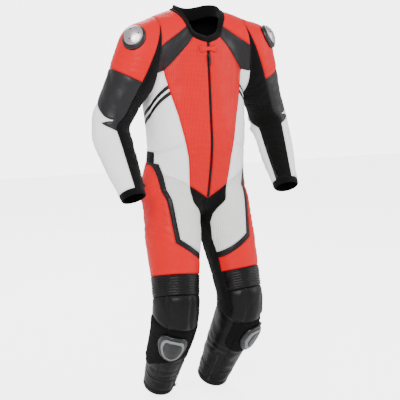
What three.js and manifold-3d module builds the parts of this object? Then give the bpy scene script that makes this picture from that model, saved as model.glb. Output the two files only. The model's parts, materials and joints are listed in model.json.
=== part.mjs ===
// One-piece leather riding suit, as a hollow body-shaped shell cut into its leather and stretch panels.
// Millimetres, +Z up. The wearer faces -Y, so the wearer's left is +X. The origin is the middle of the
// collar opening, where a hanger or a neck carries the suit.
import * as THREE from "three";
import { mergeVertices } from "three/addons/utils/BufferGeometryUtils.js";
import Module from "manifold-3d";

const wasm = await Module();
wasm.setup();

// ---- Driving dimensions -------------------------------------------------------------------------

const LEATHER = 3; // wall: 1.3 mm hide, backing foam and mesh liner together
const SEAM_GAP = 0.5; // between neighbouring panels
const FIT_GAP = 0.4; // between a panel and what lies on it or under it

// Joint centres of the left side.
const SHOULDER = new THREE.Vector3(208, 5, -86);
const ELBOW = new THREE.Vector3(324, 42, -356);
const WRIST = new THREE.Vector3(304, -114, -586);
const HIP = new THREE.Vector3(102, 2, -648);
const KNEE = new THREE.Vector3(131, -94, -1000);
const ANKLE = new THREE.Vector3(113, 88, -1312);

// The front is straight from the collar to the belly, so that the zip runs in a line there.
const FRONT_TOP_Z = -60;
const FRONT_TOP_Y = -78;
const BELLY_Z = -410;
const BELLY_Y = -110;
const frontY = (z) => THREE.MathUtils.mapLinear(z, FRONT_TOP_Z, BELLY_Z, FRONT_TOP_Y, BELLY_Y);

// Torso sections: height, half width, front and back of the body at the centre line.
const TORSO = [
  { z: 8, half: 92, front: -30, back: 88 },
  { z: -20, half: 132, front: -54, back: 108 },
  { z: FRONT_TOP_Z, half: 164, front: frontY(FRONT_TOP_Z), back: 128 },
  { z: -130, half: 179, front: frontY(-130), back: 145 },
  { z: -200, half: 184, front: frontY(-200), back: 150 },
  { z: -265, half: 188, front: frontY(-265), back: 146 },
  { z: -340, half: 187, front: frontY(-340), back: 134 },
  { z: BELLY_Z, half: 181, front: BELLY_Y, back: 126 },
  { z: -465, half: 181, front: BELLY_Y + 3, back: 130 },
  { z: -530, half: 188, front: BELLY_Y + 13, back: 146 },
  { z: -595, half: 198, front: BELLY_Y + 26, back: 150 },
  { z: -650, half: 170, front: BELLY_Y + 44, back: 138 },
  { z: -672, half: 110, front: BELLY_Y + 70, back: 100 },
];
const TORSO_SIDES = 24;
const TORSO_SQUARENESS = 0.9; // exponent under 1 makes the section boxier than an ellipse

// Shoulder beam sections along X: top height, half height, middle and half depth.
const BEAM = [
  { x: 0, top: 46, high: 86, y: 28, deep: 80 },
  { x: 84, top: 44, high: 88, y: 24, deep: 86 },
  { x: 150, top: 28, high: 88, y: 18, deep: 88 },
  { x: 196, top: 8, high: 84, y: 8, deep: 86 },
];
const BEAM_SIDES = 16;

// Limb sections: along is 0 to 1 on the first bone and 1 to 2 on the second.
const ARM = [
  { along: 0.0, wide: 88, deep: 88, shift: 0 },
  { along: 0.3, wide: 86, deep: 86, shift: -8 },
  { along: 0.6, wide: 72, deep: 76, shift: -2 },
  { along: 0.85, wide: 66, deep: 70, shift: 0 },
  { along: 1.0, wide: 64, deep: 68, shift: 0 },
  { along: 1.15, wide: 64, deep: 65, shift: 0 },
  { along: 1.4, wide: 60, deep: 60, shift: 0 },
  { along: 2.0, wide: 45, deep: 43, shift: 0 },
];
const ARM_SIDES = 16;
const ARM_BEND = 55; // length of arc on each side of the elbow

const LEG = [
  { along: 0.0, wide: 98, deep: 112, shift: 0 },
  { along: 0.25, wide: 95, deep: 104, shift: 0 },
  { along: 0.55, wide: 87, deep: 92, shift: 0 },
  { along: 0.85, wide: 80, deep: 82, shift: 0 },
  { along: 1.0, wide: 80, deep: 84, shift: 0 },
  { along: 1.15, wide: 78, deep: 82, shift: 0 },
  { along: 1.5, wide: 71, deep: 73, shift: 0 },
  { along: 2.0, wide: 57, deep: 57, shift: 0 },
];
const LEG_SIDES = 16;
const LEG_BEND = 70;

// Collar: an upright oval band that dips at the throat.
const COLLAR = { wide: 84, deep: 75, thick: 4, y: 2, tall: 30 };
const COLLAR_BACK_TOP = 62;
const COLLAR_SIDE_TOP = 54;
const COLLAR_FRONT_TOP = -46;
const COLLAR_DIP = 2.1; // how sharply the edge drops towards the throat

// Where limbs leave the torso and where they bend.
const ARMHOLE_POINT = new THREE.Vector3(179, 0, -134);
const ARMHOLE_TILT = 5; // degrees the armhole plane leans outwards at its foot
const ARM_CLEAR_X = 222; // below the armpit everything further out than this is sleeve
const ARM_CLEAR_Z = -300;
const ELBOW_FLEX = 34; // half length of the stretch ring at the elbow
const KNEE_FLEX_UP = 72; // the knee ring reaches further up, over the ribbed panel
const KNEE_FLEX_DOWN = 34;
const HIP_FLEX = 45;
const HIP_FLOOR_Z = HIP.z - HIP_FLEX;
const HIP_ROOF_Z = HIP.z + HIP_FLEX;

// Zips, tab and sliders.
const ZIP_HALF = 7.5;
const ZIP_TOP_Z = -62;
const ZIP_SLIDER = { wide: 11, deep: 6, tall: 16, z: -116 };
const ZIP_PULL = { wide: 7, deep: 1.6, tall: 26 };
const TAB = { long: 72, tall: 24, waist: 14, thick: 2.6, z: -90 };
const LIMB_ZIP_SLIDER = { wide: 9, deep: 5, tall: 14 };
const CALF_ZIP = { turn: 135, along: 1.93 }; // degrees round the bone, share of the way down it
const CUFF_ZIP = { turn: 157.5, along: 1.88 };
const SHOULDER_SLIDER = { radius: 42, thick: 10, out: 0.66, front: 0.58, up: 0.47 };
const SHOULDER_PLATE = { radius: 35, thick: 2.4 };
const KNEE_SLIDER = { wide: 104, tall: 110, thick: 22, along: 112, turn: 64 };
const PATCH = { from: -12, to: 132, top: 44, foot: 192, thick: 2 };
const HUMP = [
  { z: -6, half: 24, back: 128 },
  { z: -30, half: 56, back: 176 },
  { z: -80, half: 72, back: 202 },
  { z: -140, half: 74, back: 200 },
  { z: -200, half: 58, back: 184 },
  { z: -246, half: 22, back: 156 },
];
const HUMP_MIDDLE_Y = 100;
const BACK_PAD = { wide: 190, tall: 350, thick: 14, top: -90 };
const CUFF_LENGTH = 24;
const HEM_LENGTH = 22;

const FAR = 2400; // longer than any piece, for cutting solids

// ---- Solids from three.js geometry --------------------------------------------------------------

// A closed three.js geometry as a manifold-3d solid.
function solidOf(geometry) {
  const plain = new THREE.BufferGeometry();
  plain.setAttribute("position", geometry.getAttribute("position"));
  plain.setIndex(geometry.getIndex());
  const merged = mergeVertices(plain, 1e-3);
  return new wasm.Manifold(
    new wasm.Mesh({
      numProp: 3,
      vertProperties: new Float32Array(merged.attributes.position.array),
      triVerts: new Uint32Array(merged.index.array),
    }),
  );
}

// A manifold-3d solid as a three.js geometry, keeping its largest body only.
function geometryOf(solid) {
  const bodies = solid.decompose();
  bodies.sort((a, b) => b.volume() - a.volume());
  const mesh = bodies[0].getMesh();
  const points = new Float32Array(mesh.numVert * 3);
  for (let i = 0; i < mesh.numVert; i++) {
    const from = i * mesh.numProp;
    points.set(mesh.vertProperties.subarray(from, from + 3), i * 3);
  }
  const geometry = new THREE.BufferGeometry();
  geometry.setAttribute("position", new THREE.BufferAttribute(points, 3));
  geometry.setIndex(new THREE.BufferAttribute(new Uint32Array(mesh.triVerts), 1));
  geometry.computeVertexNormals();
  return geometry;
}

// A closed skin over rings of points, each ring the same length and turning the same way, with flat ends.
function loft(rings) {
  const sides = rings[0].length;
  const points = rings.flat();
  const faces = [];
  for (let r = 0; r + 1 < rings.length; r++)
    for (let i = 0; i < sides; i++) {
      const next = (i + 1) % sides;
      const a = r * sides + i;
      const b = r * sides + next;
      faces.push(a, b, b + sides, a, b + sides, a + sides);
    }
  const last = (rings.length - 1) * sides;
  for (const [ring, start, forward] of [[rings[0], 0, false], [rings.at(-1), last, true]]) {
    const middle = ring.reduce((sum, p) => sum.add(p), new THREE.Vector3()).divideScalar(sides);
    points.push(middle);
    for (let i = 0; i < sides; i++) {
      const a = start + i;
      const b = start + ((i + 1) % sides);
      faces.push(points.length - 1, forward ? a : b, forward ? b : a);
    }
  }
  const geometry = new THREE.BufferGeometry().setFromPoints(points);
  geometry.setIndex(faces);
  const made = solidOf(geometry);
  if (made.volume() > 0) return made;
  for (let i = 0; i < faces.length; i += 3) [faces[i + 1], faces[i + 2]] = [faces[i + 2], faces[i + 1]];
  geometry.setIndex(faces);
  return solidOf(geometry);
}

const angles = (count) => Array.from({ length: count }, (_, i) => (i / count) * 2 * Math.PI);
const power = (value, exponent) => Math.sign(value) * Math.abs(value) ** exponent;

// A box turned so that its Z is `up` and its Y is as near as can be to `across`.
function boxAt(centre, size, up = new THREE.Vector3(0, 0, 1), across = new THREE.Vector3(0, 1, 0)) {
  const z = up.clone().normalize();
  const x = across.clone().cross(z).normalize();
  const y = z.clone().cross(x);
  const place = new THREE.Matrix4().makeBasis(x, y, z).setPosition(centre);
  return solidOf(new THREE.BoxGeometry(...size).applyMatrix4(place));
}

// Everything on the side of a plane that `normal` points to.
const beyond = (point, normal) =>
  boxAt(point.clone().addScaledVector(normal, FAR / 2), [FAR * 2, FAR * 2, FAR], normal, sideways(normal));
const sideways = (normal) =>
  Math.abs(normal.y) < 0.9 ? new THREE.Vector3(0, 1, 0) : new THREE.Vector3(1, 0, 0);

// An outline in X and Z, as [x, z] corners, pushed through from y0 to y1.
function frontPrism(corners, y0, y1) {
  const shape = new THREE.Shape(corners.map(([x, z]) => new THREE.Vector2(x, z)));
  const geometry = new THREE.ExtrudeGeometry(shape, { depth: y1 - y0, bevelEnabled: false });
  // Shape X stays X, shape Y becomes Z, and the extrusion runs along -Y from y1.
  geometry.applyMatrix4(new THREE.Matrix4().makeRotationX(Math.PI / 2));
  geometry.translate(0, y1, 0);
  return solidOf(geometry);
}

// ---- Bones: a limb's own frame ------------------------------------------------------------------

// Along the bone, outwards from the body, and forwards, with angles measured from outwards to the front.
function boneFrame(from, to) {
  const axis = to.clone().sub(from).normalize();
  const front = new THREE.Vector3(0, -1, 0).addScaledVector(axis, axis.y).normalize();
  const out = front.clone().cross(axis).normalize();
  if (out.x < 0) out.negate();
  return { from, to, axis, out, front, length: from.distanceTo(to) };
}
const UPPER_ARM = boneFrame(SHOULDER, ELBOW);
const FOREARM = boneFrame(ELBOW, WRIST);
const THIGH = boneFrame(HIP, KNEE);
const SHIN = boneFrame(KNEE, ANKLE);

const alongBone = (bone, distance) => bone.from.clone().addScaledVector(bone.axis, distance);
const aroundBone = (bone, degrees) => {
  const turn = THREE.MathUtils.degToRad(degrees);
  return bone.out.clone().multiplyScalar(Math.cos(turn)).addScaledVector(bone.front, Math.sin(turn));
};

// A wedge about a bone from angle a to angle b, and from distance s0 to s1, grown all round by `grow`.
function wedge(bone, a, b, s0, s1, grow = 0) {
  const half = THREE.MathUtils.degToRad((b - a) / 2);
  const back = Math.min(grow / Math.sin(half), 60);
  const apex = aroundBone(bone, (a + b) / 2).multiplyScalar(-back);
  const flat = (v) => new THREE.Vector2(v.dot(bone.out), v.dot(bone.front));
  const corners = [flat(apex)];
  const steps = Math.ceil((b - a) / 45);
  for (let i = 0; i <= steps; i++)
    corners.push(flat(aroundBone(bone, a + ((b - a) * i) / steps).multiplyScalar(FAR / 3).add(apex)));
  const depth = s1 - s0 + 2 * grow;
  const geometry = new THREE.ExtrudeGeometry(new THREE.Shape(corners), { depth, bevelEnabled: false });
  const handed = bone.out.clone().cross(bone.front).dot(bone.axis) > 0;
  const start = alongBone(bone, handed ? s0 - grow : s1 + grow);
  const z = bone.axis.clone().multiplyScalar(handed ? 1 : -1);
  const place = new THREE.Matrix4().makeBasis(bone.out, bone.front, z).setPosition(start);
  return solidOf(geometry.applyMatrix4(place));
}

// ---- The body shape, with every skin moved out by `offset` --------------------------------------

const END_RUN = 40; // how far an inner body runs out past an open cuff, so that the cuff is open

function torsoBody(offset) {
  return loft(
    TORSO.map(({ z, half, front, back }) => {
      const middle = (front + back) / 2;
      return angles(TORSO_SIDES).map((turn) => {
        const wide = (half + offset) * power(Math.cos(turn), TORSO_SQUARENESS);
        const deep = ((back - front) / 2 + offset) * power(Math.sin(turn), TORSO_SQUARENESS);
        return new THREE.Vector3(wide, middle + deep, z);
      });
    }),
  );
}

function beamBody(offset) {
  const sections = [...BEAM.slice(1).reverse().map((s) => ({ ...s, x: -s.x })), ...BEAM];
  return loft(
    sections.map(({ x, top, high, y, deep }) =>
      angles(BEAM_SIDES).map((turn) => {
        const back = y + (deep + offset) * Math.cos(turn);
        const up = top - high + (high + offset) * Math.sin(turn);
        return new THREE.Vector3(x, back, up);
      }),
    ),
  );
}

// The line of a limb: two straight bones joined by an arc.
function limbLine(first, second, bend) {
  const joint = first.to;
  const into = alongBone(first, first.length - bend);
  const outOf = alongBone(second, bend);
  const arc = new THREE.QuadraticBezierCurve3(into, joint, outOf);
  return (along) => {
    const mm = along < 1 ? (along - 1) * first.length : (along - 1) * second.length;
    if (mm <= -bend) return alongBone(first, first.length + mm);
    if (mm >= bend) return alongBone(second, mm);
    return arc.getPoint((mm + bend) / (2 * bend));
  };
}

const interpolate = (sections, along) => {
  const upper = Math.max(1, sections.findIndex((s) => s.along >= along));
  const a = sections[upper - 1];
  const b = sections[upper];
  const share = (along - a.along) / (b.along - a.along);
  const mix = (key) => THREE.MathUtils.lerp(a[key], b[key], share);
  return { wide: mix("wide"), deep: mix("deep"), shift: mix("shift") };
};

const LIMB_STOPS = [0, 0.3, 0.6, 0.82, 0.92, 1, 1.08, 1.18, 1.4, 2];

function limbBody(first, second, bend, sections, sides, offset, mirror) {
  const line = limbLine(first, second, bend);
  const rings = [];
  const ringAt = (along, scale, slide) => {
    const { wide, deep, shift } = interpolate(sections, along);
    const share = THREE.MathUtils.clamp(((along - 1) * first.length) / (2 * bend) + 0.5, 0, 1);
    const out = first.out.clone().lerp(second.out, share).normalize();
    const front = first.front.clone().lerp(second.front, share).normalize();
    const axis = first.axis.clone().lerp(second.axis, share).normalize();
    const middle = line(along).addScaledVector(out, shift).addScaledVector(axis, slide);
    return angles(sides).map((turn) => {
      const point = middle.clone();
      point.addScaledVector(out, (wide + offset) * scale * Math.cos(turn));
      point.addScaledVector(front, (deep + offset) * scale * Math.sin(turn));
      return mirror ? point.setX(-point.x) : point;
    });
  };
  // A domed top, so that the shoulder and the hip are round.
  const dome = sections[0].wide + offset;
  for (const lean of [75, 50, 25]) {
    const turn = THREE.MathUtils.degToRad(lean);
    rings.push(ringAt(0, Math.cos(turn), -dome * Math.sin(turn)));
  }
  for (const along of LIMB_STOPS) rings.push(ringAt(along, 1, 0));
  if (offset < 0) rings.push(ringAt(2, 1, END_RUN));
  return loft(rings);
}

const bodyCache = new Map();
function body(offset) {
  if (!bodyCache.has(offset)) {
    let made = torsoBody(offset).add(beamBody(offset));
    for (const mirror of [false, true]) {
      made = made.add(limbBody(UPPER_ARM, FOREARM, ARM_BEND, ARM, ARM_SIDES, offset, mirror));
      made = made.add(limbBody(THIGH, SHIN, LEG_BEND, LEG, LEG_SIDES, offset, mirror));
    }
    bodyCache.set(offset, made);
  }
  return bodyCache.get(offset);
}
const layer = (outer, inner) => body(outer).subtract(body(inner));

// The hole that the collar stands in.
const neckRing = (grow, z) =>
  angles(36).map((turn) => {
    const x = (COLLAR.wide + grow) * Math.cos(turn);
    const y = COLLAR.y + (COLLAR.deep + grow) * Math.sin(turn);
    return new THREE.Vector3(x, y, z);
  });
const neckHole = loft([neckRing(FIT_GAP, HIP_ROOF_Z / 3), neckRing(FIT_GAP, FAR / 4)]);

const leather = layer(0, -LEATHER).subtract(neckHole);

// ---- Regions: each is made to measure, or grown all round by a seam gap -------------------------

const UP = new THREE.Vector3(0, 0, 1);
const DOWN = new THREE.Vector3(0, 0, -1);
const LEFT = new THREE.Vector3(1, 0, 0);
const at = (x, y, z) => new THREE.Vector3(x, y, z);
const mirrorX = (v) => at(-v.x, v.y, v.z);
const HALF_GAP = SEAM_GAP / 2;

// A polygon with every edge moved outwards by `grow`.
function grown(corners, grow) {
  const points = corners.map(([x, z]) => new THREE.Vector2(x, z));
  const turn = THREE.ShapeUtils.area(points) > 0 ? 1 : -1;
  const edges = points.map((p, i) => {
    const run = points[(i + 1) % points.length].clone().sub(p).normalize();
    return { p: p.clone().add(new THREE.Vector2(run.y, -run.x).multiplyScalar(turn * grow)), run };
  });
  return edges.map(({ p, run }, i) => {
    const last = edges.at(i - 1);
    const t = p.clone().sub(last.p).cross(run) / last.run.cross(run);
    return last.p.clone().addScaledVector(last.run, t).toArray();
  });
}

// Regions are functions of how much to grow by.
const prism = (corners, y0, y1) => (grow) => frontPrism(grown(corners, grow), y0 - grow, y1 + grow);
const flipped = (corners) => corners.map(([x, z]) => [-x, z]);
const both = (corners, y0, y1) => (grow) =>
  prism(corners, y0, y1)(grow).add(prism(flipped(corners), y0, y1)(grow));
const wedgeRegion = (...span) => (grow) => wedge(...span, grow);
const bandRegion = (bone, s0, s1) => (grow) =>
  beyond(alongBone(bone, s0 - grow), bone.axis).intersect(
    beyond(alongBone(bone, s1 + grow), bone.axis.clone().negate()),
  );
const either = (...regions) => (grow) => regions.map((region) => region(grow)).reduce((a, b) => a.add(b));

// Takes regions out of a shell one after another, each with a seam gap left round it.
class Cutter {
  constructor(shell) {
    this.rest = shell;
  }
  take(region) {
    const piece = this.rest.intersect(region(0));
    this.rest = this.rest.subtract(region(SEAM_GAP));
    return piece;
  }
}

// ---- Where the body parts end -------------------------------------------------------------------

const tilt = THREE.MathUtils.degToRad(ARMHOLE_TILT);
const armholeNormal = at(Math.cos(tilt), 0, Math.sin(tilt));

// The left sleeve side of the armhole, moved outwards by `mm`.
const sleeveSide = (mm) =>
  beyond(ARMHOLE_POINT.clone().addScaledVector(armholeNormal, mm), armholeNormal).add(
    beyond(at(ARM_CLEAR_X + mm, 0, 0), LEFT).intersect(beyond(at(0, 0, ARM_CLEAR_Z), DOWN)),
  );
const rightSleeveSide = (mm) =>
  beyond(mirrorX(ARMHOLE_POINT.clone().addScaledVector(armholeNormal, mm)), mirrorX(armholeNormal)).add(
    beyond(at(-ARM_CLEAR_X - mm, 0, 0), mirrorX(LEFT)).intersect(beyond(at(0, 0, ARM_CLEAR_Z), DOWN)),
  );

// Both cuts of a bend are square to the line halfway between the two bones, so the joint can
// fold between them.
function bendCuts(first, second, up, down) {
  const axis = first.axis.clone().add(second.axis).normalize();
  const back = axis.clone().negate();
  const past = (mm, way) => beyond(first.to.clone().addScaledVector(axis, mm), way);
  return {
    above: past(-up - HALF_GAP, back),
    between: past(-up + HALF_GAP, axis).intersect(past(down - HALF_GAP, back)),
    below: past(down + HALF_GAP, axis),
  };
}
const elbowCuts = bendCuts(UPPER_ARM, FOREARM, ELBOW_FLEX, ELBOW_FLEX);
const kneeCuts = bendCuts(THIGH, SHIN, KNEE_FLEX_UP, KNEE_FLEX_DOWN);

const leftHalf = beyond(at(HALF_GAP, 0, 0), LEFT);
const aboveHips = beyond(at(0, 0, HIP_ROOF_Z + HALF_GAP), UP);
const belowHips = beyond(at(0, 0, HIP_FLOOR_Z - HALF_GAP), DOWN);
const onTorso = (shell) =>
  shell.intersect(aboveHips).subtract(sleeveSide(-HALF_GAP)).subtract(rightSleeveSide(-HALF_GAP));
const onSleeve = (shell) => shell.intersect(sleeveSide(HALF_GAP));
const onLeg = (shell) => shell.intersect(belowHips).intersect(leftHalf);

// ---- Materials and naming -----------------------------------------------------------------------

const material = (color, roughness, metalness = 0) =>
  new THREE.MeshStandardMaterial({ color, roughness, metalness });
const RED = material(0xe23a30, 0.45);
const WHITE = material(0xe9e9e6, 0.45);
const GREY = material(0x3c3c40, 0.5);
const BLACK = material(0x242226, 0.55);
const KNIT = material(0x131214, 0.95);
const METAL = material(0xb8b4b2, 0.3, 0.9);
const PLASTIC = material(0x5a5e62, 0.4);
const FOAM = material(0x33363a, 0.9);

const suit = new THREE.Group();

function add(name, solid, look) {
  const mesh = new THREE.Mesh(geometryOf(solid), look.clone());
  mesh.name = name;
  suit.add(mesh);
  return mesh;
}

// The left piece as made, and the right piece as its mirror image.
function addPair(name, solid, look) {
  const left = add(name + "_left", solid.intersect(leftHalf), look);
  const right = new THREE.Mesh(left.geometry, look.clone());
  right.name = name + "_right";
  right.scale.x = -1;
  suit.add(right);
}

// ---- Torso panels -------------------------------------------------------------------------------

const SIDE_Y = 24; // the side seams run up the body here
const FRONT = -FAR / 4;
const BACK = FAR / 4;
const SHOULDER_BACK_Z = -186;
const WAIST_TOP_Z = -446;
const WAIST_FOOT_Z = -484;
const WAIST_FRONT_X = 172;
const SEAT_FRONT_X = 168;
const OUT = 400; // further out than any outline needs to reach

const yoke = [[50, -44], [70, -14], [100, -34], [300, -164], [300, -176], [160, -166]];
const centreTop = [[-1, 60], [44, 30], [50, -44.5], [160, -166.5]];
const centre = [...centreTop, [137, -240], [115, -320], [84, -465], [74, -640], [-1, -640]];
const shoulderTop = [[-1, 90], [OUT, 90], [OUT, -164], [300, -163.5], [100, -33.5], [70, -13], [-1, 0]];
const shoulderBack = [[-OUT, 90], [OUT, 90], [OUT, SHOULDER_BACK_Z], [-OUT, SHOULDER_BACK_Z]];
const waistFoot = [[OUT, WAIST_FOOT_Z], [WAIST_FRONT_X, WAIST_FOOT_Z]];
const waistFront = [[WAIST_FRONT_X, WAIST_TOP_Z], [OUT, WAIST_TOP_Z], ...waistFoot];
const waistBack = [[-OUT, WAIST_TOP_Z], [OUT, WAIST_TOP_Z], [OUT, WAIST_FOOT_Z], [-OUT, WAIST_FOOT_Z]];
const seatFront = [[SEAT_FRONT_X, WAIST_FOOT_Z], [OUT, WAIST_FOOT_Z], [OUT, -FAR], [SEAT_FRONT_X, -FAR]];
const seatBack = [[-OUT, WAIST_FOOT_Z], [OUT, WAIST_FOOT_Z], [OUT, -FAR], [-OUT, -FAR]];
const zipLine = [[-ZIP_HALF, ZIP_TOP_Z], [ZIP_HALF, ZIP_TOP_Z], [ZIP_HALF, -FAR], [-ZIP_HALF, -FAR]];

const torso = new Cutter(onTorso(leather));
add("front_zip_chain", torso.take(prism(zipLine, FRONT, 0)), BLACK);
addPair("chest_yoke", torso.take(both(yoke, FRONT, SIDE_Y)), GREY);
const shoulderRegion = either(both(shoulderTop, FRONT, SIDE_Y), prism(shoulderBack, SIDE_Y, BACK));
addPair("shoulder_panel", torso.take(shoulderRegion), RED);
addPair("front_panel", torso.take(both(centre, FRONT, SIDE_Y)), RED);
const waistRegion = either(both(waistFront, FRONT, SIDE_Y), prism(waistBack, SIDE_Y, BACK));
add("waist_stretch_panel", torso.take(waistRegion), KNIT);
add("seat_panel", torso.take(either(both(seatFront, FRONT, SIDE_Y), prism(seatBack, SIDE_Y, BACK))), RED);
addPair("side_panel", torso.rest, WHITE);
const hips = leather.subtract(aboveHips).subtract(belowHips);
addPair("hip_stretch_panel", hips.subtract(sleeveSide(-HALF_GAP)), KNIT);

// ---- Sleeves ------------------------------------------------------------------------------------

const ARM_STRETCH = { from: 98, to: 208 };
const FOREARM_STRETCH = { from: 85, to: 168 };
const CAP_LENGTH = 110; // from the shoulder joint down to the foot of the red cap

const sleeveShell = onSleeve(leather);
const upperSleeve = new Cutter(sleeveShell.intersect(elbowCuts.above));
const upperStretch = wedgeRegion(UPPER_ARM, ARM_STRETCH.from, ARM_STRETCH.to, 10, 400);
addPair("upper_sleeve_stretch", upperSleeve.take(upperStretch), KNIT);
addPair("sleeve_cap", upperSleeve.take(bandRegion(UPPER_ARM, -300, CAP_LENGTH)), RED);
addPair("upper_sleeve_panel", upperSleeve.rest, GREY);
addPair("elbow_stretch_ring", sleeveShell.intersect(elbowCuts.between), GREY);
const lowerSleeve = new Cutter(sleeveShell.intersect(elbowCuts.below));
const cuffTop = FOREARM.length - CUFF_LENGTH;
addPair("sleeve_cuff", lowerSleeve.take(bandRegion(FOREARM, cuffTop, 400)), KNIT);
const lowerStretch = wedgeRegion(FOREARM, FOREARM_STRETCH.from, FOREARM_STRETCH.to, -60, 400);
addPair("forearm_stretch", lowerSleeve.take(lowerStretch), KNIT);
addPair("forearm_panel", lowerSleeve.rest, WHITE);

// ---- Legs ---------------------------------------------------------------------------------------

const INNER_THIGH = { from: 150, to: 236 };
const CALF = { from: 112, to: 292 };
const thighFront = [[152, -640], [148, -690], [140, -750], [30, -820], [10, -820], [10, -640]];

const legShell = onLeg(leather);
const thigh = new Cutter(legShell.intersect(kneeCuts.above));
const innerThigh = wedgeRegion(THIGH, INNER_THIGH.from, INNER_THIGH.to, -100, 400);
addPair("inner_thigh_stretch", thigh.take(innerThigh), KNIT);
addPair("thigh_front_panel", thigh.take(prism(thighFront, FRONT, -10)), WHITE);
addPair("thigh_outer_panel", thigh.rest, RED);
addPair("knee_stretch_ring", legShell.intersect(kneeCuts.between), KNIT);
const lowerLeg = new Cutter(legShell.intersect(kneeCuts.below));
addPair("leg_hem", lowerLeg.take(bandRegion(SHIN, SHIN.length - HEM_LENGTH, 500)), BLACK);
addPair("calf_panel", lowerLeg.take(wedgeRegion(SHIN, CALF.from, CALF.to, -80, 500)), KNIT);
addPair("shin_panel", lowerLeg.rest, BLACK);

// ---- What lies on the leather -------------------------------------------------------------------

// Hook-and-loop patch on the shin panel, and the slider puck on the patch.
const patchOuter = FIT_GAP + PATCH.thick;
const patch = wedge(SHIN, PATCH.from, PATCH.to, PATCH.top, PATCH.foot);
addPair("knee_slider_patch", onLeg(layer(patchOuter, FIT_GAP)).intersect(patch), KNIT);
const blank = new THREE.Shape();
const sw = KNEE_SLIDER.wide / 2;
const sh = KNEE_SLIDER.tall / 2;
blank.moveTo(-sw * 0.7, -sh);
blank.lineTo(sw * 0.7, -sh);
blank.quadraticCurveTo(sw, -sh, sw, -sh * 0.5);
blank.quadraticCurveTo(sw, sh * 0.6, sw * 0.35, sh);
blank.lineTo(-sw * 0.35, sh);
blank.quadraticCurveTo(-sw, sh * 0.6, -sw, -sh * 0.5);
blank.quadraticCurveTo(-sw, -sh, -sw * 0.7, -sh);
const KNEE_REACH = 110; // length of the cutter that gives the puck its outline
const shieldCut = { depth: KNEE_REACH, bevelEnabled: false, curveSegments: 5 };
const shield = new THREE.ExtrudeGeometry(blank, shieldCut);
shield.translate(0, 0, -KNEE_REACH / 2);
const kneeOut = aroundBone(SHIN, KNEE_SLIDER.turn);
const kneeAcross = kneeOut.clone().cross(SHIN.axis).normalize();
const shieldAway = kneeAcross.clone().cross(SHIN.axis);
const shieldPlace = new THREE.Matrix4().makeBasis(kneeAcross, SHIN.axis, shieldAway);
shieldPlace.setPosition(alongBone(SHIN, KNEE_SLIDER.along).addScaledVector(kneeOut, 90));
const puckInner = patchOuter + FIT_GAP;
const puckShell = onLeg(layer(puckInner + KNEE_SLIDER.thick, puckInner));
addPair("knee_slider", puckShell.intersect(solidOf(shield.applyMatrix4(shieldPlace))), PLASTIC);

// Shoulder sliders: a round plastic base on the sleeve cap with a steel plate on it.
const puckAxis = at(SHOULDER_SLIDER.out, -SHOULDER_SLIDER.front, SHOULDER_SLIDER.up).normalize();
function shoulderDisc(radius, from, thick) {
  const cut = new THREE.CylinderGeometry(radius, radius, 200, 24);
  cut.applyQuaternion(new THREE.Quaternion().setFromUnitVectors(at(0, 1, 0), puckAxis));
  const middle = SHOULDER.clone().addScaledVector(puckAxis, 105);
  cut.translate(middle.x, middle.y, middle.z);
  return onSleeve(layer(from + thick, from)).intersect(solidOf(cut));
}
const plateFrom = 2 * FIT_GAP + SHOULDER_SLIDER.thick;
const shoulderBase = shoulderDisc(SHOULDER_SLIDER.radius, FIT_GAP, SHOULDER_SLIDER.thick);
const shoulderPlate = shoulderDisc(SHOULDER_PLATE.radius, plateFrom, SHOULDER_PLATE.thick);
addPair("shoulder_slider_base", shoulderBase, PLASTIC);
addPair("shoulder_slider_plate", shoulderPlate, METAL);

// Back hump outside, back protector inside.
const humpRings = HUMP.map(({ z, half: wide, back: reach }) =>
  angles(24).map((turn) => {
    const y = HUMP_MIDDLE_Y + (reach - HUMP_MIDDLE_Y) * Math.sin(turn);
    return at(wide * Math.cos(turn), y, z);
  }),
);
add("back_hump", loft(humpRings).subtract(body(FIT_GAP)), GREY);
const padOuter = -LEATHER - FIT_GAP;
const padHalf = BACK_PAD.wide / 2;
const padFoot = BACK_PAD.top - BACK_PAD.tall;
const padTop = [[-padHalf, BACK_PAD.top], [padHalf, BACK_PAD.top]];
const padCut = frontPrism([...padTop, [padHalf, padFoot], [-padHalf, padFoot]], SIDE_Y, BACK);
add("back_protector", layer(padOuter, padOuter - BACK_PAD.thick).intersect(padCut), FOAM);

// ---- Collar, tab and zips -----------------------------------------------------------------------

// Height of the collar's top edge: `lean` is -1 at the throat, 0 at the sides and 1 at the back.
function collarTop(lean) {
  if (lean > 0) return THREE.MathUtils.lerp(COLLAR_SIDE_TOP, COLLAR_BACK_TOP, lean);
  return THREE.MathUtils.lerp(COLLAR_SIDE_TOP, COLLAR_FRONT_TOP, Math.abs(lean) ** COLLAR_DIP);
}
const collarRing = (inset, drop) =>
  angles(36).map((turn) =>
    at(
      (COLLAR.wide - inset) * Math.cos(turn),
      COLLAR.y + (COLLAR.deep - inset) * Math.sin(turn),
      collarTop(Math.sin(turn)) - drop,
    ),
  );
const collarOuter = loft([collarRing(0, COLLAR.tall), collarRing(0, 0)]);
const collarBore = loft([collarRing(COLLAR.thick, FAR / 8), collarRing(COLLAR.thick, -FAR / 8)]);
add("collar_band", collarOuter.subtract(collarBore), KNIT);

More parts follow.
